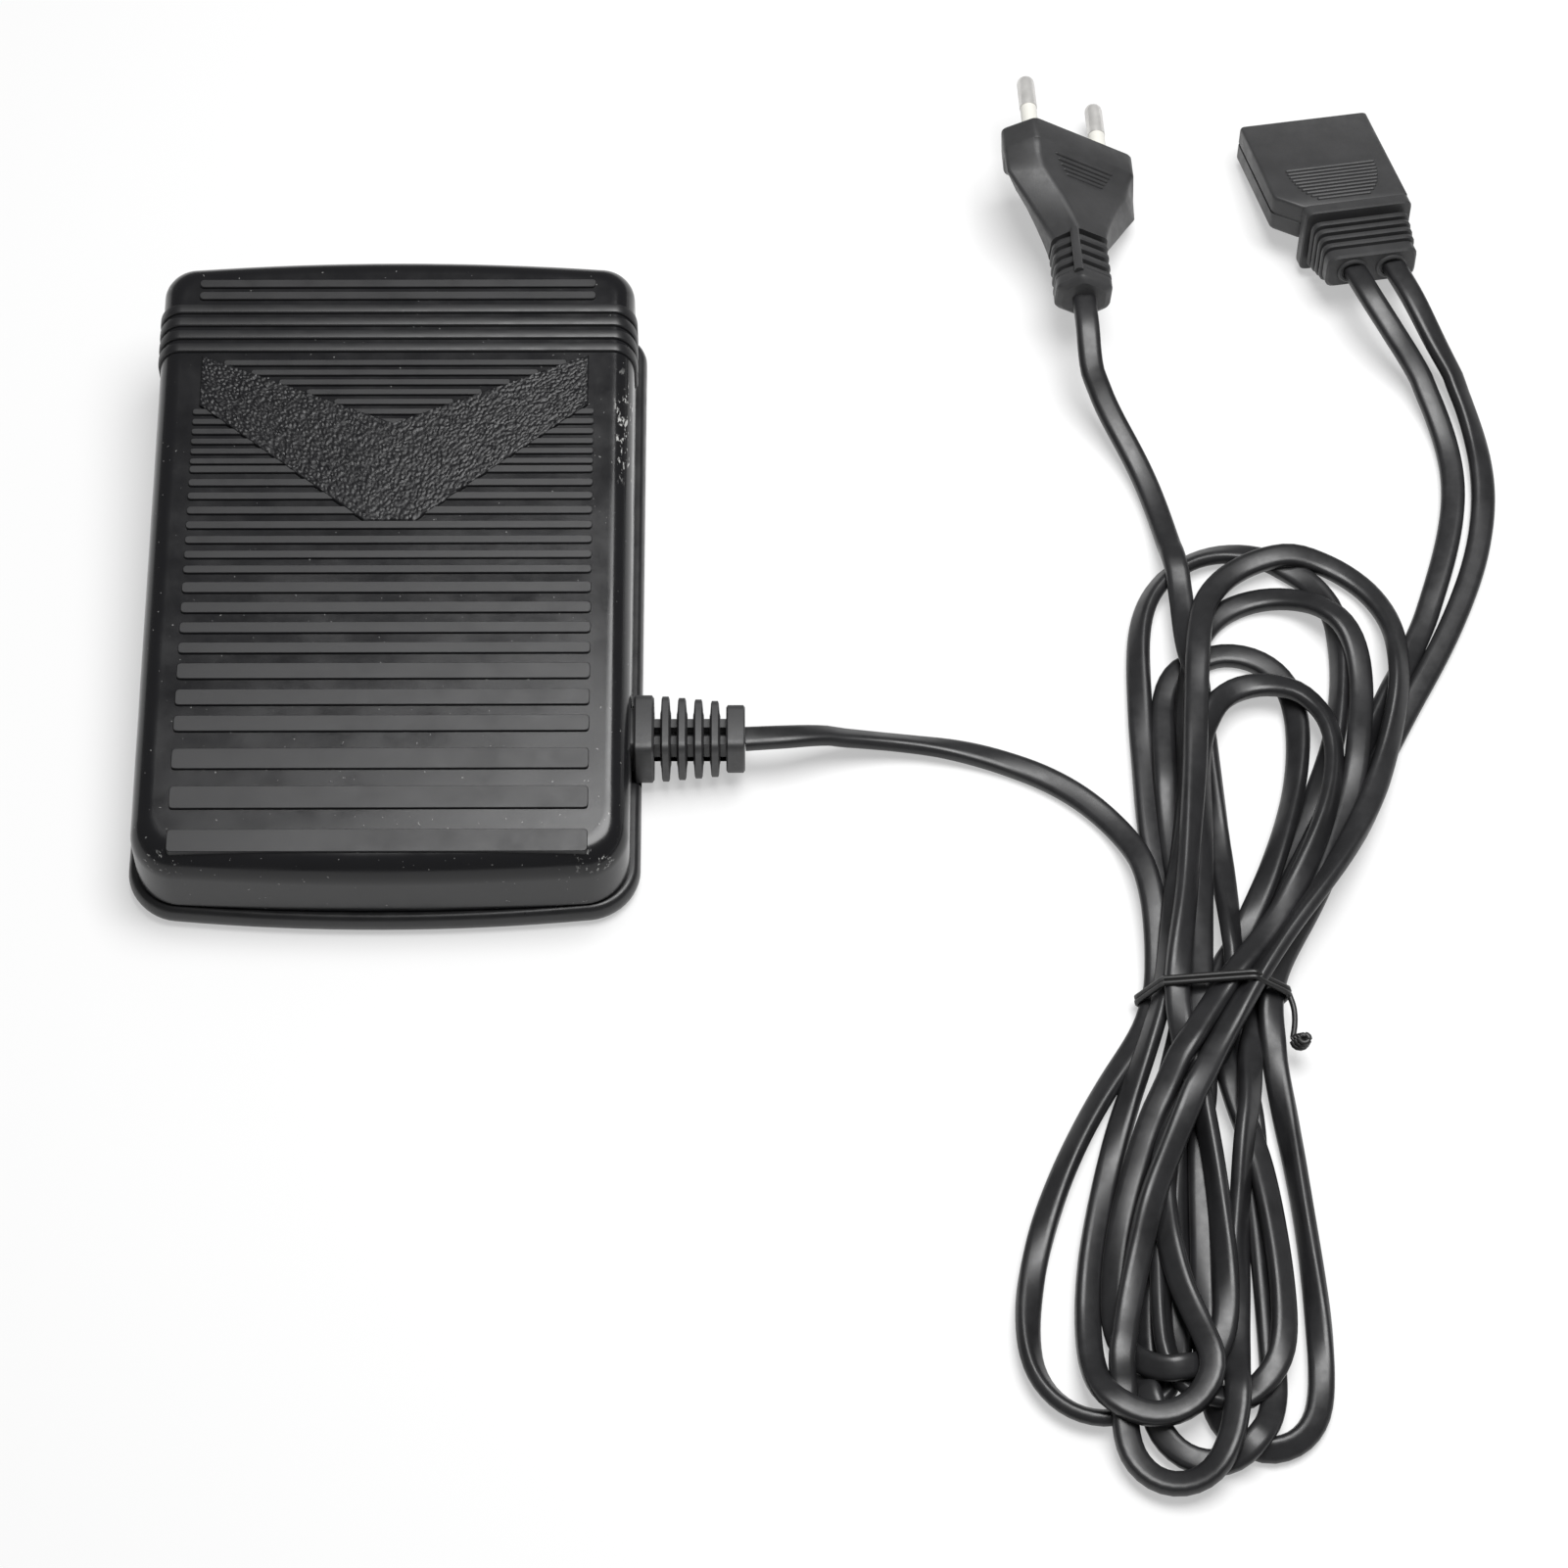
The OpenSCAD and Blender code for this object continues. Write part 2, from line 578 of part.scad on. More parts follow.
module conn_place() translate(conn_at) rotate([0, conn_roll, 0]) rotate([conn_pitch, 0, 0])
    rotate([0, 0, conn_yaw]) children();

module connector_shell() color(pvc) conn_place() difference() {
    translate([0, 0, -shell_t]) linear_extrude(shell_t) polygon([[-shell_w / 2, 5], [-shell_w / 2 + 5, 0],
        [shell_w / 2, 0], [shell_w / 2, shell_l], [-shell_w / 2, shell_l]]);
    for (x = socket_xs) translate([x, shell_l - socket_l, -shell_t / 2]) rotate([-90, 0, 0])
        cylinder(r = socket_r, h = socket_l + 8);
}

module conn_plate(y, len, w, h) translate([conn_relief_x, y, conn_mid]) rotate([90, 0, 0])
    linear_extrude(len) polygon(rounded(w, h, 2, 4, 1));

module connector_relief() color(pvc) conn_place() {
    conn_plate(0, 3, 24.7, 16);
    for (i = [0:3]) conn_plate(-4.2 - 2 * i, 1, 22.6 - 0.4 * i, 12.6 - 0.9 * i);
    conn_plate(-2.9, conn_relief_l - 6, 19, 7);
    conn_plate(-conn_relief_l + 3.2, 3.2, 20.8, 8.4);
}

module connector_contacts() color(brass) conn_place() for (x = socket_xs)
    translate([x, shell_l - socket_l, -shell_t / 2]) rotate([-90, 0, 0]) difference() {
        cylinder(r = socket_r, h = 20);
        translate([0, 0, 2]) cylinder(r = 1.2, h = 20);
    }

base_tray();
rubber_feet();
bump_stops();
treadle_cover();
hinge_pins();
return_springs();
inner_lid();
lid_screws();
main_board();
board_screws();
track_board();
plunger();
plunger_spring();
wiper();
heat_sink();
triac();
triac_screw();
choke_core();
choke_winding();
capacitor();
resistors();
speed_trimmer();
fuse();
fuse_clips();
terminal_block();
cord_clamp();
clamp_screws();
inner_cord();
lead_wires();
strain_relief();
pedal_cord();
pedal_cord_end();
mains_cord();
mains_cord_end();
cord_hank();
bundle_tie();
plug_body();
plug_pins();
pin_sleeves();
connector_shell();
connector_relief();
connector_contacts();
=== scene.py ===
"""Looks of a sewing machine's foot pedal: treadle, base, two tied cords, mains plug and machine connector.

Every length in the lists and functions below is in millimetres, and MM turns it into metres when a mesh
is made.
"""
import json
from math import asin, ceil, copysign, cos, pi, radians, sin, sqrt

import bpy
import numpy as np
from mathutils import Matrix, Quaternion, Vector, geometry, noise


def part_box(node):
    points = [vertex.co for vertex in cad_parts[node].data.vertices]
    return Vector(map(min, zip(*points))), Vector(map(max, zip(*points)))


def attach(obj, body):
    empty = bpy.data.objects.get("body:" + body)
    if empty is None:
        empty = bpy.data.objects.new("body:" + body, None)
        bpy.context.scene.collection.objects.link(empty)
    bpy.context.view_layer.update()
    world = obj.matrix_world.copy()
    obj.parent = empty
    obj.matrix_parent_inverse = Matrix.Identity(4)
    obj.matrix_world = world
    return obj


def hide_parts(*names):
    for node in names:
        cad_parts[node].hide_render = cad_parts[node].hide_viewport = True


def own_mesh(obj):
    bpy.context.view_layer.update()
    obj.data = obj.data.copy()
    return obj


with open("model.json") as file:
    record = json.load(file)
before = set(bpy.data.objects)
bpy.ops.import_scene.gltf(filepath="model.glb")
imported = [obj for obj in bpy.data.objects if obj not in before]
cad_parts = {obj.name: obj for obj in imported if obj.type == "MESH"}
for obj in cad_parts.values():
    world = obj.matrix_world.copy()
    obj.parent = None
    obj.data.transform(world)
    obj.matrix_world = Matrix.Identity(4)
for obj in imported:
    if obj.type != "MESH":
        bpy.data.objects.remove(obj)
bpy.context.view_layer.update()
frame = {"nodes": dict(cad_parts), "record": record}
MM = 0.001

# Sizes of the pedal: those that the frame gives, and those of the outer surfaces made here


def spans(node):
    """Lowest and highest corner of a CAD node, in millimetres."""
    low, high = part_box(node)
    return [v / MM for v in low], [v / MM for v in high]


base_low, base_high = spans("base_tray")
relief_low, relief_high = spans("strain_relief")
tie_low, tie_high = spans("bundle_tie")
pins_low, pins_high = spans("hinge_pins")
BASE_W = base_high[0] - base_low[0]
BASE_L = base_high[1] - base_low[1]
RIM_Z = 5.6
FLOOR_Z = 3.0
COVER_W = 101.0
COVER_L = 146.0
COVER_Y = -1.5
COVER_R = 9.0
SHOULDER = 4.5
SHOULDER_DROP = 6.2
HEEL_Y = COVER_Y - COVER_L / 2
HEEL_H = 22.5
SLOPE = 0.095
SKIN = 2.0
PLATE_T = 2.5
SKIRT_HEEL_Z = 6.0
SKIRT_SLOPE = 0.0787
BOW = 2.2
BASE_BOW = 3.3
TOE_CORNER = 0.65
RELIEF_Y = (relief_low[1] + relief_high[1]) / 2
RELIEF_Z = (relief_low[2] + relief_high[2]) / 2
RELIEF_X = COVER_W / 2 + 0.5
HINGE_Y = (pins_low[1] + pins_high[1]) / 2
HINGE_Z = (pins_low[2] + pins_high[2]) / 2
CORD_W = 5.2
CORD_T = 3.2
TIE_Y = (tie_low[1] + tie_high[1]) / 2
SPRING_X, SPRING_Y = 24, 44
PLUNGER_X, PLUNGER_Y = 35, 2
SUNK = 0.1  # how far a part of a moulding reaches into the part that it stands on


def top_z(y):
    """Height of the treadle's flat top at y."""
    return HEEL_H + (y - HEEL_Y) * SLOPE


def skirt_z(y):
    """Height of the treadle's lower edge at y."""
    return SKIRT_HEEL_Z + (y - HEEL_Y) * SKIRT_SLOPE


# Camera


def place_camera():
    """Looks down on the pedal and its cords from in front, through a long lens."""
    elevation, yaw, roll = radians(58.17), radians(0.81), radians(0.56)
    distance = 0.9396
    target = Vector((82.1, -40.4, 0)) * MM
    ahead = Vector((sin(yaw) * cos(elevation), cos(yaw) * cos(elevation), -sin(elevation)))
    data = bpy.data.cameras.new("camera")
    data.sensor_width = 36
    data.lens = 103.34
    data.clip_start, data.clip_end = 0.02, 30
    camera = bpy.data.objects.new("camera", data)
    bpy.context.scene.collection.objects.link(camera)
    camera.location = target - ahead * distance
    camera.rotation_mode = "QUATERNION"
    camera.rotation_quaternion = ahead.to_track_quat("-Z", "Y") @ Quaternion((0, 0, 1), roll)
    bpy.context.scene.camera = camera


place_camera()

# Meshes


def round_points(sides):
    """Cosine and sine of evenly spaced points round a circle."""
    return [(cos(2 * pi * k / sides), sin(2 * pi * k / sides)) for k in range(sides)]


class Mould:
    """The points, faces and material numbers of one piece, in millimetres."""

    def __init__(self):
        self.points = []
        self.faces = []
        self.slots = []

    def face(self, corners, slot=0):
        self.faces.append(corners)
        self.slots.append(slot)

    def loft(self, rings, slot=0, caps=(True, True), wrap=False):
        """Joins closed rings of equal length, with a flat cap at either end, or the last to the first."""
        n, start = len(rings[0]), len(self.points)
        for ring in rings:
            self.points += [tuple(p) for p in ring]
        for j in range(len(rings) - 1):
            for i in range(n):
                a, b = start + j * n + i, start + j * n + (i + 1) % n
                self.face((a, b, b + n, a + n), slot)
        if wrap:
            last = (len(rings) - 1) * n
            for i in range(n):
                a, b = start + i, start + (i + 1) % n
                self.face((a + last, b + last, b, a), slot)
        if caps[0]:
            self.face(tuple(start + n - 1 - i for i in range(n)), slot)
        if caps[1]:
            last = start + (len(rings) - 1) * n
            self.face(tuple(last + i for i in range(n)), slot)

    def post(self, x, y, z0, z1, r, chamfer=0.3, slot=0, sides=32):
        """An upright round post with a chamfered top."""
        levels = [(z0, r), (z1 - chamfer, r), (z1, r - chamfer)]
        self.loft([[(x + k * c, y + k * s, z) for c, s in round_points(sides)] for z, k in levels], slot)

    def rod_x(self, x0, x1, y, z, r, chamfer=0.3, slot=0, sides=32):
        """A round rod along X with chamfered ends."""
        levels = [(x0, r - chamfer), (x0 + chamfer, r), (x1 - chamfer, r), (x1, r - chamfer)]
        self.loft([[(x, y + k * c, z + k * s) for c, s in round_points(sides)] for x, k in levels], slot)

    def block(self, x0, x1, y0, y1, z0, z1, slot=0):
        """A plain box between two corners."""
        ring = [(x0, y0), (x1, y0), (x1, y1), (x0, y1)]
        self.loft([[(x, y, z) for x, y in ring] for z in (z0, z1)], slot)


def piece(name, mould, materials, body, replaces=(), place=None, bevel=0.0, angle=38):
    """Makes the mesh object of a mould, parents it to its body, and hides the CAD nodes that it replaces."""
    mesh = bpy.data.meshes.new(name)
    points = [Vector(p) for p in mould.points]
    if place is not None:
        points = [place @ p for p in points]
    mesh.from_pydata([p * MM for p in points], [], mould.faces)
    for material in materials:
        mesh.materials.append(material)
    mesh.polygons.foreach_set("material_index", mould.slots)
    mesh.validate()
    mesh.shade_smooth()
    obj = bpy.data.objects.new(name, mesh)
    bpy.context.scene.collection.objects.link(obj)
    bpy.context.view_layer.objects.active = obj
    bpy.ops.object.select_all(action="DESELECT")
    obj.select_set(True)
    bpy.ops.object.mode_set(mode="EDIT")
    bpy.ops.mesh.select_all(action="SELECT")
    bpy.ops.mesh.normals_make_consistent(inside=False)
    bpy.ops.object.mode_set(mode="OBJECT")
    mesh.set_sharp_from_angle(angle=radians(angle))
    if bevel:
        edges = obj.modifiers.new("edges", "BEVEL")
        edges.width = bevel * MM
        edges.segments = 2
        edges.limit_method = "ANGLE"
        edges.angle_limit = radians(angle)
        edges.harden_normals = True
    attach(obj, body)
    if replaces:
        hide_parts(*replaces)
    return obj


# Materials


def shader(name, roughness, metallic=0.0, specular=0.5):
    """A new material and its node tree, with the even values set on the shader."""
    made = bpy.data.materials.new(name)
    made.use_nodes = True
    bsdf = made.node_tree.nodes["Principled BSDF"]
    bsdf.inputs["Metallic"].default_value = metallic
    bsdf.inputs["Roughness"].default_value = roughness
    bsdf.inputs["Specular IOR Level"].default_value = specular
    return made, made.node_tree, bsdf


def node(tree, kind, inputs=None, **settings):
    """A shader node with its settings; an input is a value or the socket that feeds it."""
    made = tree.nodes.new("ShaderNode" + kind)
    for key, value in settings.items():
        setattr(made, key, value)
    for key, value in (inputs or {}).items():
        if isinstance(value, bpy.types.NodeSocket):
            tree.links.new(value, made.inputs[key])
        else:
            made.inputs[key].default_value = value
    return made


def places(tree, stretch=(1, 1, 1)):
    """Object coordinates in millimetres, stretched."""
    start = node(tree, "TexCoord")
    scale = tuple(1000 * s for s in stretch)
    return node(tree, "Mapping", {"Vector": start.outputs["Object"], "Scale": scale}).outputs[0]


def speckle(tree, where, size, detail=3.0, rough=0.55):
    """Noise with features of about that size in millimetres."""
    inputs = {"Vector": where, "Scale": 1 / size, "Detail": detail, "Roughness": rough}
    return node(tree, "TexNoise", inputs).outputs["Fac"]


def spread(tree, value, low, high, to_low, to_high):
    """The value moved from one range to another, and held inside it."""
    inputs = {"Value": value, "From Min": low, "From Max": high, "To Min": to_low, "To Max": to_high}
    return node(tree, "MapRange", inputs).outputs[0]


def two_tone(tree, share, first, second):
    """A colour between the first and the second."""
    made = node(tree, "Mix", data_type="RGBA")
    sockets = {s.name: s for s in made.inputs if s.type == ("VALUE" if s.name == "Factor" else "RGBA")}
    tree.links.new(share, sockets["Factor"])
    sockets["A"].default_value = (*first, 1)
    sockets["B"].default_value = (*second, 1)
    return next(s for s in made.outputs if s.type == "RGBA")


def uneven(tree, value, low, high):
    """Noise stretched to run from low to high."""
    return spread(tree, value, 0.3, 0.7, low, high)


def shade_of(colour, share):
    """The colour made lighter or darker."""
    return tuple(min(1.0, c * share) for c in colour)


def moulded(name, colour, roughness, grain=0.35, depth=0.01, patch=14.0, vary=0.25, wear=0.08,
            metallic=0.0, stretch=(1, 1, 1)):
    """Moulded plastic, rubber or metal: uneven colour, smudged gloss and a fine surface grain."""
    made, tree, bsdf = shader(name, roughness, metallic)
    where = places(tree, stretch)
    clouds = speckle(tree, where, patch)
    tone = two_tone(tree, uneven(tree, clouds, 0, 1), shade_of(colour, 1 - vary), shade_of(colour, 1 + vary))
    tree.links.new(tone, bsdf.inputs["Base Color"])
    smudge = speckle(tree, where, patch / 3, 5.0, 0.65)
    tree.links.new(uneven(tree, smudge, roughness - wear, roughness + wear), bsdf.inputs["Roughness"])
    fine = speckle(tree, where, grain, 2.0)
    bump = node(tree, "Bump", {"Height": fine, "Strength": 0.6, "Distance": depth * MM})
    tree.links.new(bump.outputs[0], bsdf.inputs["Normal"])
    return made


def window(tree, value, low, high, soft):
    """1 where the value lies between low and high, fading over soft."""
    rise = spread(tree, value, low - soft, low + soft, 0, 1)
    fall = spread(tree, value, high - soft, high + soft, 1, 0)
    return node(tree, "Math", {0: rise, 1: fall}, operation="MULTIPLY").outputs[0]


def product(tree, *values):
    """The values multiplied together."""
    made = values[0]
    for value in values[1:]:
        made = node(tree, "Math", {0: made, 1: value}, operation="MULTIPLY").outputs[0]
    return made


def treadle_gloss():
    """Glossy black plastic with faint flow waves, smudges, fine dust, and pale scuffs on its edges."""
    made, tree, bsdf = shader("treadle_gloss", 0.2, specular=0.4)
    where = places(tree)
    axes = node(tree, "SeparateXYZ", {"Vector": where})
    x, y, z = axes.outputs[0], axes.outputs[1], axes.outputs[2]
    scratch_field = places(tree, (1.0, 0.45, 1.0))
    marks = spread(tree, speckle(tree, scratch_field, 1.1, 4, 0.7), 0.585, 0.63, 0, 1)
    shoulder = product(tree, window(tree, x, 46.8, 50.9, 0.5), window(tree, y, 17, 41, 2.5),
                       spread(tree, z, 25, 29, 0, 1))
    from_middle = node(tree, "Math", {0: x}, operation="ABSOLUTE").outputs[0]
    heel = product(tree, window(tree, y, -74, -69.8, 0.6), spread(tree, z, 17.5, 19, 0, 1),
                   spread(tree, from_middle, 39, 45, 0, 1))
    worn = node(tree, "Math", {0: shoulder, 1: heel}, operation="MAXIMUM").outputs[0]
    dust = spread(tree, speckle(tree, where, 0.8, 1, 0.5), 0.765, 0.78, 0, 0.4)
    pale = node(tree, "Math", {0: product(tree, marks, worn), 1: dust}, operation="MAXIMUM").outputs[0]
    tree.links.new(two_tone(tree, pale, (0.007, 0.007, 0.008), (0.42, 0.42, 0.41)), bsdf.inputs["Base Color"])
    smudge = speckle(tree, where, 11, 5, 0.65)
    tree.links.new(uneven(tree, smudge, 0.14, 0.27), bsdf.inputs["Roughness"])
    waves = speckle(tree, where, 20, 1, 0.4)
    fine = speckle(tree, where, 0.5, 2)
    soft = node(tree, "Bump", {"Height": waves, "Strength": 0.5, "Distance": 0.25 * MM})
    bump = node(tree, "Bump", {"Height": fine, "Strength": 0.4, "Distance": 0.006 * MM,
                               "Normal": soft.outputs[0]})
    tree.links.new(bump.outputs[0], bsdf.inputs["Normal"])
    return made


def treadle_matt():
    """The bars' spark-eroded faces: a fine even grain, rubbed smoother here and there."""
    made, tree, bsdf = shader("treadle_bars", 0.42, specular=0.5)
    where = places(tree)
    clouds = speckle(tree, where, 16, 3)
    tone = two_tone(tree, uneven(tree, clouds, 0, 1), (0.006, 0.006, 0.007), (0.010, 0.010, 0.011))
    tree.links.new(tone, bsdf.inputs["Base Color"])
    rubbed = speckle(tree, where, 7, 5, 0.65)
    tree.links.new(uneven(tree, rubbed, 0.33, 0.48), bsdf.inputs["Roughness"])
    fine = speckle(tree, where, 0.22, 2)
    bump = node(tree, "Bump", {"Height": fine, "Strength": 0.7, "Distance": 0.02 * MM})
    tree.links.new(bump.outputs[0], bsdf.inputs["Normal"])
    return made


def treadle_leather():
    """The chevron's grain: fine wrinkles on top of the modelled pebbles."""
    made, tree, bsdf = shader("treadle_leather", 0.36, specular=0.3)
    where = places(tree)
    clouds = speckle(tree, where, 6, 3)
    tone = two_tone(tree, uneven(tree, clouds, 0, 1), (0.005, 0.005, 0.006), (0.009, 0.009, 0.010))
    tree.links.new(tone, bsdf.inputs["Base Color"])
    rubbed = speckle(tree, where, 1.2, 3)
    tree.links.new(uneven(tree, rubbed, 0.26, 0.42), bsdf.inputs["Roughness"])
    fine = speckle(tree, where, 0.3, 3)
    bump = node(tree, "Bump", {"Height": fine, "Strength": 0.8, "Distance": 0.05 * MM})
    tree.links.new(bump.outputs[0], bsdf.inputs["Normal"])
    return made


finish = {
    "satin_black_plastic": moulded("satin_black", (0.012, 0.012, 0.013), 0.34, 0.5, 0.012),
    "gloss_black_plastic": moulded("gloss_black", (0.009, 0.009, 0.010), 0.2, 3.0, 0.01, 25, wear=0.05),
    "rubber_black": moulded("rubber", (0.02, 0.02, 0.02), 0.75, 0.25, 0.03),
    "rubber_grey": moulded("grey_rubber", (0.05, 0.05, 0.048), 0.7, 0.25, 0.03),
    "steel": moulded("steel_wire", (0.55, 0.56, 0.58), 0.3, 0.2, 0.006, metallic=1.0, stretch=(1, 1, 0.2)),
    "board_green": moulded("board", (0.03, 0.12, 0.04), 0.4, 1.2, 0.02, 5, 0.3),
    "board_brown": moulded("track", (0.12, 0.06, 0.025), 0.5, 0.6, 0.02, 5, 0.3),
    "white_plastic": moulded("white", (0.75, 0.73, 0.68), 0.35, 0.4, 0.01, vary=0.05),
    "brass": moulded("brass_sheet", (0.7, 0.48, 0.16), 0.3, 0.3, 0.006, metallic=1.0),
    "aluminium": moulded("aluminium_bar", (0.6, 0.61, 0.63), 0.42, 0.2, 0.01, metallic=1.0,
                         stretch=(0.1, 1, 1)),
    "component_black": moulded("component", (0.015, 0.015, 0.015), 0.5, 0.2, 0.02),
    "ferrite_grey": moulded("ferrite", (0.06, 0.062, 0.068), 0.6, 0.3, 0.03),
    "copper_wire": moulded("copper", (0.6, 0.25, 0.09), 0.28, 0.5, 0.05, metallic=1.0, stretch=(1, 1, 0.1)),
    "film_yellow": moulded("film", (0.55, 0.42, 0.05), 0.4, 0.6, 0.02, vary=0.1),
    "resistor_tan": moulded("tan", (0.5, 0.34, 0.18), 0.45, 0.4, 0.02, vary=0.12),
    "trimmer_blue": moulded("blue", (0.03, 0.1, 0.38), 0.38, 0.4, 0.01, vary=0.1),
    "fuse_glass": moulded("glass_tube", (0.6, 0.62, 0.6), 0.15, 0.8, 0.01, vary=0.08),
    "terminal_green": moulded("terminal", (0.04, 0.18, 0.07), 0.42, 0.4, 0.01, vary=0.12),
    "cord_black": moulded("cord_sheath", (0.014, 0.014, 0.015), 0.36, 1.6, 0.005, 9, 0.3, 0.06),
    "lead_blue": moulded("lead", (0.03, 0.1, 0.35), 0.4, 0.4, 0.01, vary=0.1),
    "pvc_dark_grey": moulded("pvc", (0.034, 0.034, 0.035), 0.45, 0.3, 0.03, 8, 0.15),
    "tie_black": moulded("tie", (0.012, 0.012, 0.012), 0.4, 0.3, 0.02),
    "nickel_pin": moulded("nickel", (0.68, 0.67, 0.65), 0.38, 0.25, 0.006, 5, 0.12, metallic=0.55),
    "sleeve_white": moulded("sleeve", (0.72, 0.71, 0.66), 0.4, 0.4, 0.01, vary=0.06),
}

# Cords: two flat two-core leads, tied together in a hank of open loops

PEDAL_ROUTE = [(74, -35.6, 10), (82, -35, 9.8), (89, -33.5, 8), (97, -32, 5), (106, -31.5, 2.6),
               (116, -32.5, 1.6), (126, -35, 1.6), (135, -38.5, 1.6), (143, -43.5, 1.6), (150, -50, 2),
               (155, -57, 3), (158, -64, 4)]
MAINS_ROUTE = [(148.5, 74.7, 15.9), (149, 67, 16), (149.5, 60, 13.5), (151, 54, 10), (154, 49, 6.5),
               (158, 43, 3.4), (161.5, 35, 2), (164, 25, 2.6), (165.5, 15, 5), (167, 5, 7)]
PEDAL_END_ROUTE = [(216, -8, 3), (220, 2, 1.8), (223.6, 12, 1.6), (226.6, 22, 1.6), (228.4, 31, 1.6),
                   (228.8, 39, 1.6), (227.8, 47, 2), (225.4, 55, 3.4), (221.4, 63, 6.6), (216.6, 70, 10.4),
                   (212, 78, 12.7), (209.1, 85.7, 12.1)]
MAINS_END_ROUTE = [(211, -28, 3), (216.4, -18, 1.8), (222, -8, 1.6), (227, 3, 1.6), (231, 13, 1.6),
                   (233.6, 23, 1.6), (235, 33, 1.6), (234.8, 43, 1.8), (233.2, 52, 2.8), (230.2, 60, 5.4),
                   (226, 68, 8.8), (221.6, 78, 11.6), (217.9, 87.6, 11.4)]

# Each fold of the hank: where it leaves the tie (x, z), its round end (centre x, y, radius, height), the
# side that it goes out on (-1 left, 1 right), how far its outgoing leg sways, and where it comes back (x, z)
PEDAL_FOLDS = [
    ((158, 3), (143, -172, 15.5, 1.6), -1, 0, (163, 3)),
    ((163, 3), (179, -4, 22, 2), -1, 0, (168, 3)),
    ((168, 3), (166, -172, 12.5, 4), 1, 0, (163, 6.5)),
    ((163, 6.5), (176, -22, 15, 4), -1, 0, (168, 6.5)),
    ((168, 6.5), (163, -184, 13, 3), -1, 0, (173, 3)),
]
MAINS_FOLDS = [
    ((173, 6.5), (152.5, -176, 13, 8), 1, -13, (158, 6.5)),
    ((158, 6.5), (186, -12, 18.5, 5), -1, 0, (178, 6.5)),
    ((178, 6.5), (174, -183, 11.5, 2), 1, 0, (165, 10)),
    ((165, 10), (183, -32, 15, 7), -1, 0, (170, 10)),
    ((170, 10), (156, -168, 12, 6), -1, 0, (160, 10)),
    ((160, 10), (191, -6, 22, 9), -1, 0, (175, 10.5)),
    ((175, 10.5), (156.5, -190.5, 11.5, 6), -1, 0, (178, 3)),
]


def fold(start, end_round, side, sway, back):
    """Points of one fold: out from the tie, round the end, and back to the tie."""
    cx, cy, r, height = end_round
    way = 1 if cy > TIE_Y else -1

    def leg(x, z, s, bend, t):
        knee = cy + 0.45 * (TIE_Y - cy)
        a, b, c = (1 - t) ** 2, 2 * t * (1 - t), t * t
        edge = cx + s * r
        return (a * x + (b + c) * edge + bend * sin(pi * t), a * TIE_Y + b * knee + c * cy,
                z + (height - z) * t)

    points = [leg(start[0], start[1], side, sway, t) for t in (0, 0.25, 0.5, 0.75)]
    points += [(cx + side * r * cos(radians(a)), cy + way * r * sin(radians(a)), height)
               for a in range(0, 181, 30)]
    return points + [leg(back[0], back[1], -side, 0, t) for t in (0.75, 0.5, 0.25)]


def cord_plan(entry, folds, leave):
    """The whole route of a cord: in, through its folds, and out."""
    points = list(entry)
    for one in folds:
        points += fold(*one)
    last = folds[-1][4]
    return points + [(last[0], TIE_Y, last[1])] + list(leave)


def smooth_line(points, gap):
    """A Catmull-Rom line through the points, cut into equal steps of about that gap."""
    p = np.array(points, float)
    p = np.vstack([2 * p[0] - p[1], p, 2 * p[-1] - p[-2]])
    t = np.linspace(0, 1, 24, endpoint=False)[:, None]
    parts = []
    for a, b, c, d in zip(p, p[1:], p[2:], p[3:]):
        parts.append(0.5 * (2 * b + (c - a) * t + (2 * a - 5 * b + 4 * c - d) * t ** 2
                            + (3 * b - a - 3 * c + d) * t ** 3))
    return even_steps(np.vstack([*parts, p[-2:-1]]), gap)


def even_steps(line, gap):
    """The line cut again into equal steps of about that gap."""
    run = np.concatenate([[0], np.cumsum(np.linalg.norm(np.diff(line, axis=0), axis=1))])
    count = int(ceil(run[-1] / gap)) + 1
    wanted = np.linspace(0, run[-1], count)
    return np.column_stack([np.interp(wanted, run, line[:, k]) for k in range(3)])


def twist_of(count, gap, phase):
    """How far the flat cord is turned about its own line, in radians, calm at both ends."""
    calm_end, most = 40, radians(62)
    s = np.arange(count) * gap
    length = s[-1]
    calm = np.clip(np.minimum(s, length - s) / calm_end, 0, 1)
    wave = 0.55 * np.sin(s / 31 + phase) + 0.45 * np.sin(s / 17.5 + 2.1 * phase)
    return calm * wave * most


def half_span(a, b):
    """How far a round-edged section reaches when its half sides reach a and b."""
    return (np.abs(a) ** 1.4 + np.abs(b) ** 1.4) ** (1 / 1.4)


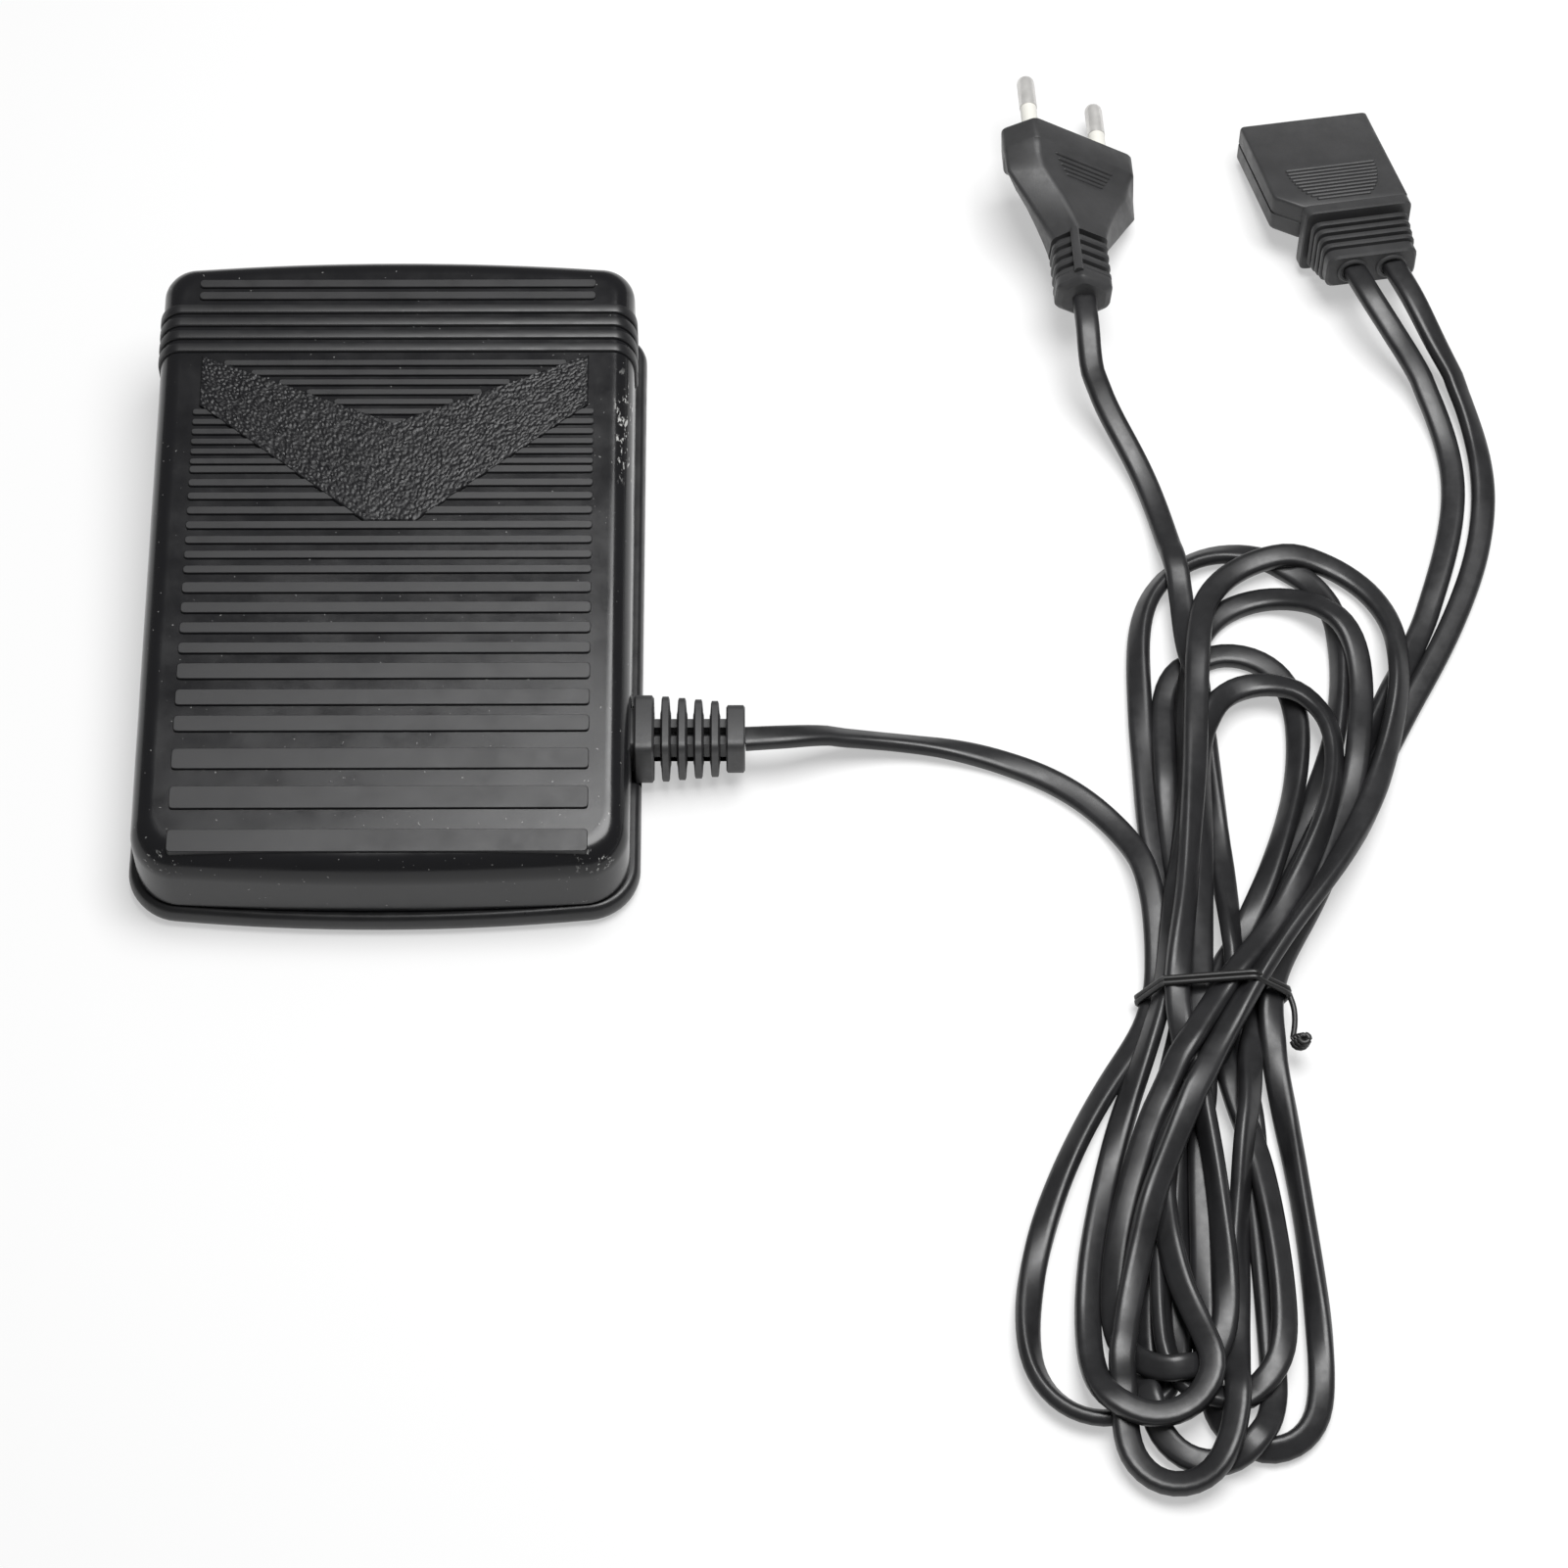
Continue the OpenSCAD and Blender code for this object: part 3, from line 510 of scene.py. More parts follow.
def settle(lines, turns, gap):
    """Lets the cords lie down: pushed apart where they meet, pulled down, and kept stiff."""
    passes, sink, stiffness, pull = 260, 0.10, 0.45, 0.12
    held_start, held_end = 22, 34
    p = np.vstack(lines)
    plan = p.copy()
    turn = np.concatenate(turns)
    tall = half_span(CORD_W / 2 * np.sin(turn), CORD_T / 2 * np.cos(turn))
    wide = half_span(CORD_W / 2 * np.cos(turn), CORD_T / 2 * np.sin(turn))
    cuts = np.cumsum([0] + [len(line) for line in lines])
    owner = np.concatenate([np.full(len(line), k) for k, line in enumerate(lines)])
    held = np.zeros(len(p), bool)
    for a, b in zip(cuts, cuts[1:]):
        held[a:a + int(held_start / gap)] = True
        held[b - int(held_end / gap):b] = True
    i, j = np.triu_indices(len(p), 1)
    close = np.hypot(*(p[i, :2] - p[j, :2]).T) < 8
    close &= (owner[i] != owner[j]) | (j - i > 9 / gap)
    i, j = i[close], j[close]
    ground = np.where(np.abs(p[:, 1] - TIE_Y) < 4, 1.1, 0.0)
    for _ in range(passes):
        p[:, 2] -= sink
        for a, b in zip(cuts, cuts[1:]):
            line = p[a:b]
            for _ in range(3):
                line[1:-1] += stiffness * ((line[:-2] + line[2:]) / 2 - line[1:-1])
        p[:, :2] += pull * (plan[:, :2] - p[:, :2])
        d = p[i] - p[j]
        reach_w, reach_h = wide[i] + wide[j], tall[i] + tall[j]
        aside = np.hypot(d[:, 0], d[:, 1]) + 1e-6
        q = np.sqrt((aside / reach_w) ** 2 + (d[:, 2] / reach_h) ** 2)
        push = np.clip(1 - q, 0, 1) * 0.5
        up = np.where(d[:, 2] >= 0, 1, -1) * push * reach_h * 0.9
        out = (push * reach_w * 0.3 / aside)[:, None] * d[:, :2]
        move = np.zeros_like(p)
        hits = np.ones(len(p))
        for index, sign in ((i, 1), (j, -1)):
            np.add.at(move[:, 2], index, sign * up)
            np.add.at(move[:, 0], index, sign * out[:, 0])
            np.add.at(move[:, 1], index, sign * out[:, 1])
            np.add.at(hits, index, push > 0)
        p += move / np.sqrt(hits)[:, None]
        p[:, 2] = np.maximum(p[:, 2], ground + tall)
        p[held] = plan[held]
    return [p[a:b] for a, b in zip(cuts, cuts[1:])]


def cord_mould(line, turn, sides=20):
    """A flat cord with round edges along the line, turned about it, with a shallow groove down its middle."""
    heading = np.gradient(line, axis=0)
    heading /= np.linalg.norm(heading, axis=1)[:, None]
    across = np.column_stack([heading[:, 1], -heading[:, 0], np.zeros(len(line))])
    across /= np.linalg.norm(across, axis=1)[:, None]
    above = np.cross(across, heading)
    mould = Mould()
    rings = []
    for p, a, b, t in zip(line, across, above, turn):
        wide, tall = a * cos(t) + b * sin(t), b * cos(t) - a * sin(t)
        ring = []
        for c, s in round_points(sides):
            groove = 1 - 0.06 * max(0.0, 1 - abs(c) / 0.3)
            u, v = copysign(abs(c) ** 0.72, c), copysign(abs(s) ** 0.62, s)
            ring.append(p + wide * (CORD_W / 2 * u) + tall * (CORD_T / 2 * v * groove))
        lift = max(0.0, 0.02 - min(q[2] for q in ring))
        rings.append([(q[0], q[1], q[2] + lift) for q in ring])
    mould.loft(rings)
    return mould


GAP = 3.0
FINE_GAP = 2.0
plans = [smooth_line(cord_plan(PEDAL_ROUTE, PEDAL_FOLDS, PEDAL_END_ROUTE), GAP),
         smooth_line(cord_plan(MAINS_ROUTE, MAINS_FOLDS, MAINS_END_ROUTE), GAP)]
turns = [twist_of(len(line), GAP, phase) for line, phase in zip(plans, (0.4, 1.9))]
settled = settle(plans, turns, GAP)
fine_turns, fine_lines = [], []
for line, turn in zip(settled, turns):
    smoother = smooth_line(line, FINE_GAP)
    share = np.linspace(0, 1, len(smoother)) * (len(turn) - 1)
    fine_lines.append(smoother)
    fine_turns.append(np.interp(share, np.arange(len(turn)), turn))
pedal_lead = piece("pedal_lead", cord_mould(fine_lines[0], fine_turns[0]), [finish["cord_black"]], "base",
                   ["pedal_cord", "pedal_cord_end"])
mains_lead = piece("mains_lead", cord_mould(fine_lines[1], fine_turns[1]), [finish["cord_black"]], "base",
                   ["mains_cord", "mains_cord_end", "cord_hank"])

# Outlines

circle = round_points(32)


def outline(w, l, r, side=(), bow=BOW, arc=12, run=16):
    """Points of a rounded rectangle whose heel and toe ends bow outwards.

    side adds points at those y on the +X edge.
    """
    tight = TOE_CORNER * r
    x, toe_x = w / 2 - r, w / 2 - tight
    end = l / 2 - bow
    points = []

    def corner(cx, cy, start, size):
        for i in range(arc + 1):
            a = radians(start + 90 * i / arc)
            points.append((cx + size * cos(a), cy + size * sin(a)))

    corner(x, r - end, -90, r)
    points.extend((w / 2, v) for v in side)
    corner(toe_x, end - tight, 0, tight)
    points.extend((toe_x * (1 - 2 * i / run), end) for i in range(1, run))
    corner(-toe_x, end - tight, 90, tight)
    corner(-x, r - end, 180, r)
    points.extend((-x * (1 - 2 * i / run), -end) for i in range(1, run))
    return [(a, b + (1 if b > 0 else -1) * bow * (1 - (2 * a / w) ** 2)) for a, b in points]


def rounded_corners(points, cut, steps=4):
    """A closed outline with each corner rounded over the length cut."""
    made = []
    for i, p in enumerate(points):
        p, before, after = Vector(p), Vector(points[i - 1]), Vector(points[(i + 1) % len(points)])
        a = p + (before - p).normalized() * cut
        b = p + (after - p).normalized() * cut
        for k in range(steps + 1):
            t = k / steps
            made.append(a * (1 - t) ** 2 + p * 2 * t * (1 - t) + b * t * t)
    return made


def box_ring(w, h, r):
    """A rectangle about the origin with rounded corners."""
    half_w, half_h = w / 2, h / 2
    square = [(-half_w, -half_h), (half_w, -half_h), (half_w, half_h), (-half_w, half_h)]
    return rounded_corners(square, r)


# Treadle: a glossy shell with raised matt bars, a belt of wrapped ribs and a leather grained chevron

# Rows of bars: heel edge of the first, how many, pitch and length along Y
BAR_ROWS = [(-70.6, 1, 9, 5), (-60.9, 1, 9, 5), (-52, 1, 8, 4.6), (-43.5, 3, 6, 3.6), (-25.6, 4, 4.7, 2.5),
            (-6.9, 5, 3.5, 1.8), (10.6, 3, 3.2, 1.7), (19.1, 11, 2.4, 1.4), (59.6, 2, 3, 1.9)]
BAR_H = 0.5
BAR_HALF = 42.3
BELT_ROW = (46.6, 4, 3.2, 2.2)
CHEVRON_HALF = 41.0
CHEVRON_TIP = (5.3, 5.4)
CHEVRON_OUT = 33.4
CHEVRON_IN = 29.0
CHEVRON_TOP = 45.6


def chevron_low(x):
    """The chevron's heel edge: a short flat tip and two straight arms."""
    beyond = max(0.0, abs(x) - CHEVRON_TIP[0])
    return CHEVRON_TIP[1] + beyond * (CHEVRON_OUT - CHEVRON_TIP[1]) / (CHEVRON_HALF - CHEVRON_TIP[0])


def chevron_high(x):
    """The chevron's toe edge."""
    return CHEVRON_IN + abs(x) * (CHEVRON_TOP - CHEVRON_IN) / CHEVRON_HALF


def treadle_shell(mould):
    """The hollow treadle with its rounded shoulder, and a gap in one side for the relief."""
    half_gap = 6.2
    gap_top = RELIEF_Z + 8.4
    side = [RELIEF_Y + k - COVER_Y for k in (-half_gap - 0.05, -half_gap, half_gap, half_gap + 0.05)]

    def ring(inset, r, height):
        points = []
        for x, y in outline(COVER_W - 2 * inset, COVER_L - 2 * inset, r, side):
            y += COVER_Y
            points.append((x, y, height(x, y)))
        return points

    def edge(up):
        def height(x, y):
            gap = x > COVER_W / 4 and abs(y - RELIEF_Y) <= half_gap + 0.01
            return (gap_top if gap else skirt_z(y)) + up
        return height

    def below(down):
        return lambda x, y: top_z(y) - down

    inner_r = COVER_R - SKIN
    rings = [ring(SKIN + 2.6, inner_r - 1.5, below(PLATE_T)),
             ring(SKIN + 0.8, inner_r - 0.4, below(PLATE_T + 0.8)),
             ring(SKIN, inner_r, below(PLATE_T + 2.5)), ring(SKIN, inner_r, edge(0.1)),
             ring(SKIN - 0.3, inner_r, edge(0)), ring(0.3, COVER_R, edge(0)), ring(0, COVER_R, edge(0.3))]
    for a in range(0, 91, 9):
        inset = SHOULDER * (1 - cos(radians(a)))
        rings.append(ring(inset, COVER_R - inset / 2, below(SHOULDER_DROP * (1 - sin(radians(a))))))
    rings.append(ring(SHOULDER + 0.5, COVER_R - SHOULDER / 2, below(0)))
    mould.loft(rings)


def treadle_bar(mould, y0, y1, half):
    """One bar: square ends on the wide ones, round ends on the narrow ones."""
    r = min((y1 - y0) / 2 - 0.05, 0.9)
    corners = [(-half, y0), (half, y0), (half, y1), (-half, y1)]
    mid = (y0 + y1) / 2

    def ring(inset, up):
        shape = rounded_corners(corners, r, 5)
        share_x, share_y = 1 - inset / half, 1 - 2 * inset / (y1 - y0)
        return [(p[0] * share_x, mid + (p[1] - mid) * share_y, top_z(mid + (p[1] - mid) * share_y) + up)
                for p in shape]

    mould.loft([ring(0, -1.2), ring(0, BAR_H - 0.12), ring(0.12, BAR_H)], slot=1)


def treadle_bars(mould):
    """All the bars; those between the chevron's arms stop short of them."""
    for first, count, pitch, long in BAR_ROWS:
        for i in range(count):
            y0 = first + i * pitch
            half = BAR_HALF
            if CHEVRON_OUT < y0 + long < CHEVRON_TOP + 1:
                half = (y0 - CHEVRON_IN) * CHEVRON_HALF / (CHEVRON_TOP - CHEVRON_IN) + 1.5
            treadle_bar(mould, y0, y0 + long, half)


def belt_rib(mould, y0, y1):
    """One rib of the belt, over the top and down both sides."""
    section = [(-0.6, y0), (0.3, y0), (0.55, y0 + 0.2), (0.62, y0 + 0.5), (0.62, y1 - 0.5), (0.55, y1 - 0.2),
               (0.3, y1), (-0.6, y1)]
    half = COVER_W / 2
    arc = [radians(9 * i) for i in range(11)]
    path = [(-half, 13, -1, 0.2), (-half, 12.4, -1, 0)]
    path += [(-half + SHOULDER * (1 - cos(a)), SHOULDER_DROP * (1 - sin(a)), -cos(a), sin(a)) for a in arc]
    path += [(-x, down, -nx, nz) for x, down, nx, nz in reversed(path)]
    rings = []
    for number, (x, down, nx, nz) in enumerate(path):
        low = number in (0, len(path) - 1)
        rings.append([(x + nx * (min(o, 0) if low else o), y, top_z(y) - down + nz * o) for o, y in section])
    mould.loft(rings, slot=1)


def grain(x, y):
    """Height of the leather grain: rounded pebbles about a millimetre across, with creases between."""
    bend = noise.noise(Vector((x / 3, y / 3, 0.3))) * 0.8
    near = noise.voronoi(Vector((x / 0.8 + bend, y / 0.95 - bend, 0)))[0]
    pebble = min(1.0, (near[1] - near[0]) * 2.6)
    return 0.2 * sqrt(max(pebble, 0.0)) + 0.05 * noise.noise(Vector((x * 2.1, y * 2.1, 5)))


def chevron(mould):
    """The raised chevron with its leather grain and slightly frayed edges."""
    columns, rows = 340, 84
    rings = []
    for i in range(columns + 1):
        x = CHEVRON_HALF * (2 * i / columns - 1)
        low, high = chevron_low(x), chevron_high(x)
        frayed = 0.18 * noise.noise(Vector((x * 1.3, 2, 7)))
        low, high = low + frayed, high + 0.18 * noise.noise(Vector((x * 1.1, 9, 3)))
        end = i in (0, columns)
        ring = [(x, low, top_z(low) - 0.5)]
        for j in range(rows + 1):
            y = low + (high - low) * j / rows
            border = j in (0, rows) or end
            up = 0.42 if border else 0.52 + grain(x, y)
            ring.append((x, y, top_z(y) + up))
        ring.append((x, high, top_z(high) - 0.5))
        rings.append(ring)
    mould.loft(rings, slot=2)


def treadle_underside(mould):
    """Hinge lugs, spring cups and the post that pushes the plunger."""
    lug_low, lug_high = pins_low[0] + 6, pins_low[0] + 12
    spring_top, presser_z, sharp = 29.0, 26.5, 0.01
    for side in (-1, 1):
        x0, x1 = sorted((side * lug_low, side * lug_high))
        mould.block(x0, x1, HINGE_Y - 4, HINGE_Y + 4, HINGE_Z, top_z(HINGE_Y) - PLATE_T + 1)
        mould.rod_x(x0, x1, HINGE_Y, HINGE_Z, 4)
        under = top_z(SPRING_Y) - PLATE_T + 1
        mould.post(side * SPRING_X, SPRING_Y, spring_top, under, 7.5, sharp)
        mould.post(side * SPRING_X, SPRING_Y, spring_top - 5, spring_top + SUNK, 3.5, sharp)
    mould.post(PLUNGER_X, PLUNGER_Y, presser_z, top_z(PLUNGER_Y) - PLATE_T + 1, 3, sharp)


def make_treadle():
    mould = Mould()
    treadle_shell(mould)
    treadle_bars(mould)
    first, count, pitch, long = BELT_ROW
    for i in range(count):
        belt_rib(mould, first + i * pitch, first + i * pitch + long)
    chevron(mould)
    treadle_underside(mould)
    materials = [treadle_gloss(), treadle_matt(), treadle_leather()]
    return piece("treadle", mould, materials, "treadle", ["treadle_cover"], angle=32)


# Base tray: a low rim with a full outer edge, the wall inside the treadle, lugs and posts


def plunger_guide(mould):
    """The tube that the plunger slides in, slotted on one side for the wiper."""
    out_r, in_r, slot_half, slot_z, top = 5, 3.6, 2, 9, 13
    cx, cy, foot = PLUNGER_X, PLUNGER_Y, FLOOR_Z - SUNK
    levels = [(out_r, foot), (out_r, slot_z), (in_r, slot_z), (in_r, foot)]
    mould.loft([[(cx + r * c, cy + r * s, z) for c, s in circle] for r, z in levels],
               caps=(False, False), wrap=True)
    section = []
    for r, way in ((out_r, 1), (in_r, -1)):
        half = asin(slot_half / r)
        arc = [pi + half + (2 * pi - 2 * half) * i / 30 for i in range(31)]
        section += [(cx + r * cos(a), cy + r * sin(a)) for a in arc[::way]]
    mould.loft([[(x, y, z) for x, y in section] for z in (slot_z - SUNK, top)])


def make_base():
    """The tray, with a lower rim at the relief, an inner wall, and what stands on its floor."""
    mould = Mould()
    foot = FLOOR_Z - SUNK
    gap = [RELIEF_Y - 8, RELIEF_Y - 7.6, RELIEF_Y + 10.6, RELIEF_Y + 11]

    def ring(inset, r, z):
        points = []
        for x, y in outline(BASE_W - 2 * inset, BASE_L - 2 * inset, r, gap, BASE_BOW):
            low = x > BASE_W / 4 and gap[0] + 0.1 < y < gap[3] - 0.1
            points.append((x, y, min(z, FLOOR_Z) if low else z))
        return points

    profile = [(1.2, 0.8), (0.7, 0.9), (0.2, 1.7), (0, 2.5), (0, 3.4), (0.25, 4.5), (0.6, 5.2), (1.1, 5.55),
               (1.5, RIM_Z), (3.6, RIM_Z), (3.8, 5.4), (3.8, FLOOR_Z)]
    mould.loft([ring(inset, 10 - inset * 0.8, z) for inset, z in profile])
    slot_half, wall_z = 5.2, 19.0
    slot_y = [RELIEF_Y + k - COVER_Y for k in (-slot_half - 0.1, -slot_half, slot_half, slot_half + 0.1)]

    def wall_ring(inset, z):
        points = []
        for x, y in outline(COVER_W - 5.6 - 2 * inset, COVER_L - 5.6 - 2 * inset, 6 - inset, slot_y):
            y += COVER_Y
            slot = x > COVER_W / 4 and abs(y - RELIEF_Y) <= slot_half + 0.02
            high = 4.8 if slot else (12.0 if y < HINGE_Y + 8 else wall_z)
            points.append((x, y, min(z, high)))
        return points

    mould.loft([wall_ring(0, foot), wall_ring(0, wall_z - 0.2), wall_ring(0.2, wall_z),
                wall_ring(1.6, wall_z), wall_ring(1.8, wall_z - 0.2), wall_ring(1.8, foot)],
               caps=(False, False), wrap=True)
    lug_l, lid_post_z, board_post_z, stop_post_z = 4, 17.4, 7, 17
    for side in (-1, 1):
        for x in (28.1, 38.9):
            x0, x1 = sorted((side * x, side * (x + lug_l)))
            mould.block(x0, x1, HINGE_Y - 4, HINGE_Y + 4, foot, HINGE_Z)
            mould.rod_x(x0, x1, HINGE_Y, HINGE_Z, 4)
        mould.post(side * SPRING_X, SPRING_Y, foot, FLOOR_Z + 5, 3.8)
        mould.post(side * 34, 60, foot, stop_post_z, 4)
        for y in (-50.5, 20):
            mould.post(side * 40, y, foot, lid_post_z, 3.5)
        mould.post(36, RELIEF_Y + side * 8, foot, RELIEF_Z + CORD_T / 2, 3)
    for y in (-40, 12):
        for x in (-31, 14):
            mould.post(x, y, foot, board_post_z, 3)
    plunger_guide(mould)
    mould.block(32, 40, RELIEF_Y - 4, RELIEF_Y + 4, foot, RELIEF_Z - CORD_T / 2)
    return piece("base_shell", mould, [finish["satin_black_plastic"]], "base", ["base_tray"],
                 angle=32)


# Strain relief: collar, four ribs that get smaller, end collar, a frame that joins them, and the cord inside


def make_relief():
    """The relief through the pedal's wall, with windows between its ribs."""
    mould = Mould()
    first_rib, rib_pitch, rib_size, rib_step = 5.75, 3.4, 13.8, 0.45

    def ring(x, w, h, r=2.0):
        return [(x, RELIEF_Y + p[0], RELIEF_Z + p[1]) for p in box_ring(w, h, r)]

    def plate(x0, x1, w, h, edge=0.3):
        mould.loft([ring(x0, w - 2 * edge, h - 2 * edge), ring(x0 + edge, w, h), ring(x1 - edge, w, h),
                    ring(x1, w - 2 * edge, h - 2 * edge)])

    inner = relief_low[0]
    plate(inner, inner + 1.7, 14, 12)
    plate(inner + 1.6, RELIEF_X + 0.3, 10.4, 10.4, 0.05)
    plate(RELIEF_X, RELIEF_X + 4.2, 14.4, 13.8, 0.45)
    end = RELIEF_X + 23
    for i in range(4):
        x = RELIEF_X + first_rib + rib_pitch * i
        size = rib_size - rib_step * i
        stations = [(-0.3, 0.6), (-0.15, 0.68), (0, 0.94), (0.2, 1), (1.45, 1), (1.65, 0.94), (1.8, 0.68),
                    (1.95, 0.6)]
        mould.loft([ring(x + dx, size * k, size * k, 2.0 * k) for dx, k in stations])
    plate(end - 3.9, end, 11.2, 11.2, 0.35)
    x0, x1 = RELIEF_X + 4, end - 3.7
    for y0, y1, top in ((0.4, 2.5, 3.9), (-3.2, -1.3, 3.0), (-3.2, 2.5, -1.8)):
        mould.block(x0, x1, RELIEF_Y + y0, RELIEF_Y + y1, RELIEF_Z - 3.6, RELIEF_Z + top)
    mould.rod_x(x0, x1, RELIEF_Y - 0.4, RELIEF_Z + 0.2, 1.6, slot=1)
    return piece("relief_sleeve", mould, [finish["pvc_dark_grey"], finish["cord_black"]], "base",
                 ["strain_relief"], bevel=0.25)


# Plug: a flat two-pin body with a waisted grip and a ribbed neck

PLUG_AT = Matrix.Translation((146.5, 118.5, 12.6)) @ Matrix.Rotation(radians(31), 4, "Y") \
    @ Matrix.Rotation(radians(-5), 4, "X")
PIN_X = 9.3
# Stations of the body along -Y: y, half width, half flat, thickness
PLUG_STATIONS = [(0, 17.0, 12.5, 12.8), (-0.2, 17.4, 12.85, 13.4), (-0.6, 17.65, 13.05, 13.7),
                 (-5.8, 17.65, 13.05, 13.7), (-6.2, 17.65, 13.0, 13.5), (-6.7, 17.65, 12.7, 12.6),
                 (-8, 17.6, 12.3, 11.6), (-10, 17.6, 11.8, 10.8), (-12.8, 17.5, 11.0, 10.4),
                 (-13.6, 17.0, 10.5, 10.4), (-17, 14.7, 8.5, 10.7), (-21, 12.1, 6.6, 11.3),
                 (-25, 9.4, 5.0, 11.8), (-28, 7.4, 4.1, 12), (-29.2, 7, 4, 11.9)]


def hexagon(y, half, flat, thick, cut=1.1):
    """A section across the plug: two flats of half width flat, and a blunt edge on either side."""
    corners = [(-half, 0), (-flat, thick / 2), (flat, thick / 2), (half, 0), (flat, -thick / 2),
               (-flat, -thick / 2)]
    return [(p[0], y, p[1]) for p in rounded_corners(corners, cut)]


def make_plug():
    """The plug's body, the ribs and end of its neck, two ridges along the neck, and a grip on both faces."""
    mould = Mould()
    mould.loft([hexagon(*s) for s in PLUG_STATIONS])
    mould.loft([hexagon(y, 6, 3, 9) for y in (-28.5, -41)])
    for i in range(4):
        y = -30.4 - 2.9 * i
        rings = [(y + 0.25, 5.8, 3, 9), (y, 6.7, 3.8, 11), (y - 0.4, 7, 4, 11.6), (y - 1.2, 7, 4, 11.6),
                 (y - 1.6, 6.7, 3.8, 11), (y - 1.85, 5.8, 3, 9)]
        mould.loft([hexagon(*r) for r in rings])
    mould.loft([hexagon(*r) for r in ((-40.3, 6.8, 3.9, 11.2), (-40.7, 7, 4, 11.4), (-42.8, 7, 4, 11.4),
                                      (-43.4, 6.6, 3.7, 10.8), (-44, 5.4, 2.9, 9.2))])
    for side in (-1, 1):
        ridge_x, ridge_z = side * 4.4, side * -5.1
        mould.loft([[(ridge_x + c, y, ridge_z + s) for c, s in round_points(12)] for y in (-29, -41.5)])
    thick = [(s[0], s[3]) for s in reversed(PLUG_STATIONS)]
    for i in range(5):
        y = -8.0 - 1.2 * i
        z = np.interp(y, [t[0] for t in thick], [t[1] / 2 for t in thick])
        half = 7.4 - 0.7 * i
        for face in (-1, 1):
            rings = [[(x, y + r * c, face * z + r * s) for c, s in round_points(10)]
                     for x, r in ((-half - 0.4, 0.08), (-half, 0.42), (half, 0.42), (half + 0.4, 0.08))]
            mould.loft(rings)
    return piece("plug", mould, [finish["pvc_dark_grey"]], "base", ["plug_body"],
                 place=PLUG_AT, angle=28)


def turned(mould, x, stations, sides=28):
    """A round bar along Y with the radii of its stations."""
    mould.loft([[(x + r * c, y, r * s) for c, s in round_points(sides)] for y, r in stations])


def make_pins():
    """The bare ends of the two pins, and the white sleeves round their other halves."""
    bare, sleeved = Mould(), Mould()
    for side in (-1, 1):
        turned(bare, side * PIN_X, [(9.9, 1.9), (10, 2.0), (17.4, 2.0), (18.1, 1.88), (18.6, 1.6),
                                    (18.9, 1.15), (19, 0.6)])
        turned(sleeved, side * PIN_X, [(-0.5, 1.85), (9.2, 1.85), (9.8, 1.9), (9.95, 1.8)])
    return (piece("pins", bare, [finish["nickel_pin"]], "base", ["plug_pins"], place=PLUG_AT),
            piece("sleeves", sleeved, [finish["sleeve_white"]], "base", ["pin_sleeves"],
                  place=PLUG_AT))


# Connector: a flat shell with three sockets, a grip of fine ridges, and a boot with two cord mouths

CONNECTOR_AT = Matrix.Translation((207.6, 101.5, 16.3)) @ Matrix.Rotation(radians(1.4), 4, "Y") \
    @ Matrix.Rotation(radians(-12.4), 4, "X") @ Matrix.Rotation(radians(12.2), 4, "Z")
SHELL_HALF, SHELL_L, SHELL_T = 15.0, 31.0, 9.0
SOCKET_XS = (-8, 0, 8)
BOOT_X, BOOT_Z = 2.5, -7.5


def shell_section(y, left, inset):
    """Section of the shell at y, from left to its right side, with the parting step on either side."""
    x0, x1, top, low = -left + inset, SHELL_HALF - inset, -inset, -SHELL_T + inset
    corners = rounded_corners([(x0, low), (x1, low), (x1, top), (x0, top)], 0.9)
    step = [(0, -4.9), (0.35, -4.7), (0.35, -4.3), (0, -4.1)]
    right = [(x1 - d, z) for d, z in step]
    back = [(x0 + d, z) for d, z in reversed(step)]
    ring = corners[:10] + right + corners[10:] + back
    return [(x, y, z) for x, z in ring]


def make_connector_shell():
    """The flat shell, open at its three sockets, with a D-shaped field of fine ridges on top."""
    mould = Mould()
    depth, widest, ridge_y, ridge_pitch = 21, 10.2, 12.8, 1.18
    stations = [(0, 9.4, 0.7), (0.2, 9.7, 0.25), (0.7, 10.3, 0), (4.6, 14.6, 0), (5.4, 15, 0),
                (SHELL_L - 0.7, 15, 0), (SHELL_L - 0.2, 15, 0.25), (SHELL_L, 15, 0.7)]
    mould.loft([shell_section(*s) for s in stations], caps=(True, False))
    edges = [-SHELL_HALF + 0.7, -4, 4, SHELL_HALF - 0.7]
    mid = -SHELL_T / 2
    for x, x0, x1 in zip(SOCKET_XS, edges, edges[1:]):
        square = []
        for c, s in circle:
            stretch = 1 / max(abs(c), abs(s))
            wide = (x1 - x) if c > 0 else (x - x0)
            square.append((x + c * stretch * wide, SHELL_L, mid + s * stretch * (SHELL_T / 2 - 0.7)))
        bores = [(SHELL_L, 2.05), (SHELL_L - 0.4, 1.7), (SHELL_L - depth, 1.7)]
        mould.loft([square] + [[(x + r * c, y, mid + r * s) for c, s in circle] for y, r in bores],
                   caps=(False, True))
    for i in range(10):
        y = ridge_y - ridge_pitch * i
        half = widest * sqrt(1 - ((ridge_y - y) / 13.2) ** 2)
        rings = [[(0.6 + x, y + r * c, r * 1.1 * s) for c, s in circle[::4]]
                 for x, r in ((-half - 0.3, 0.1), (-half, 0.42), (half, 0.42), (half + 0.3, 0.1))]
        mould.loft(rings)
    return piece("connector_body", mould, [finish["pvc_dark_grey"]], "base", ["connector_shell"],
                 place=CONNECTOR_AT, angle=34)


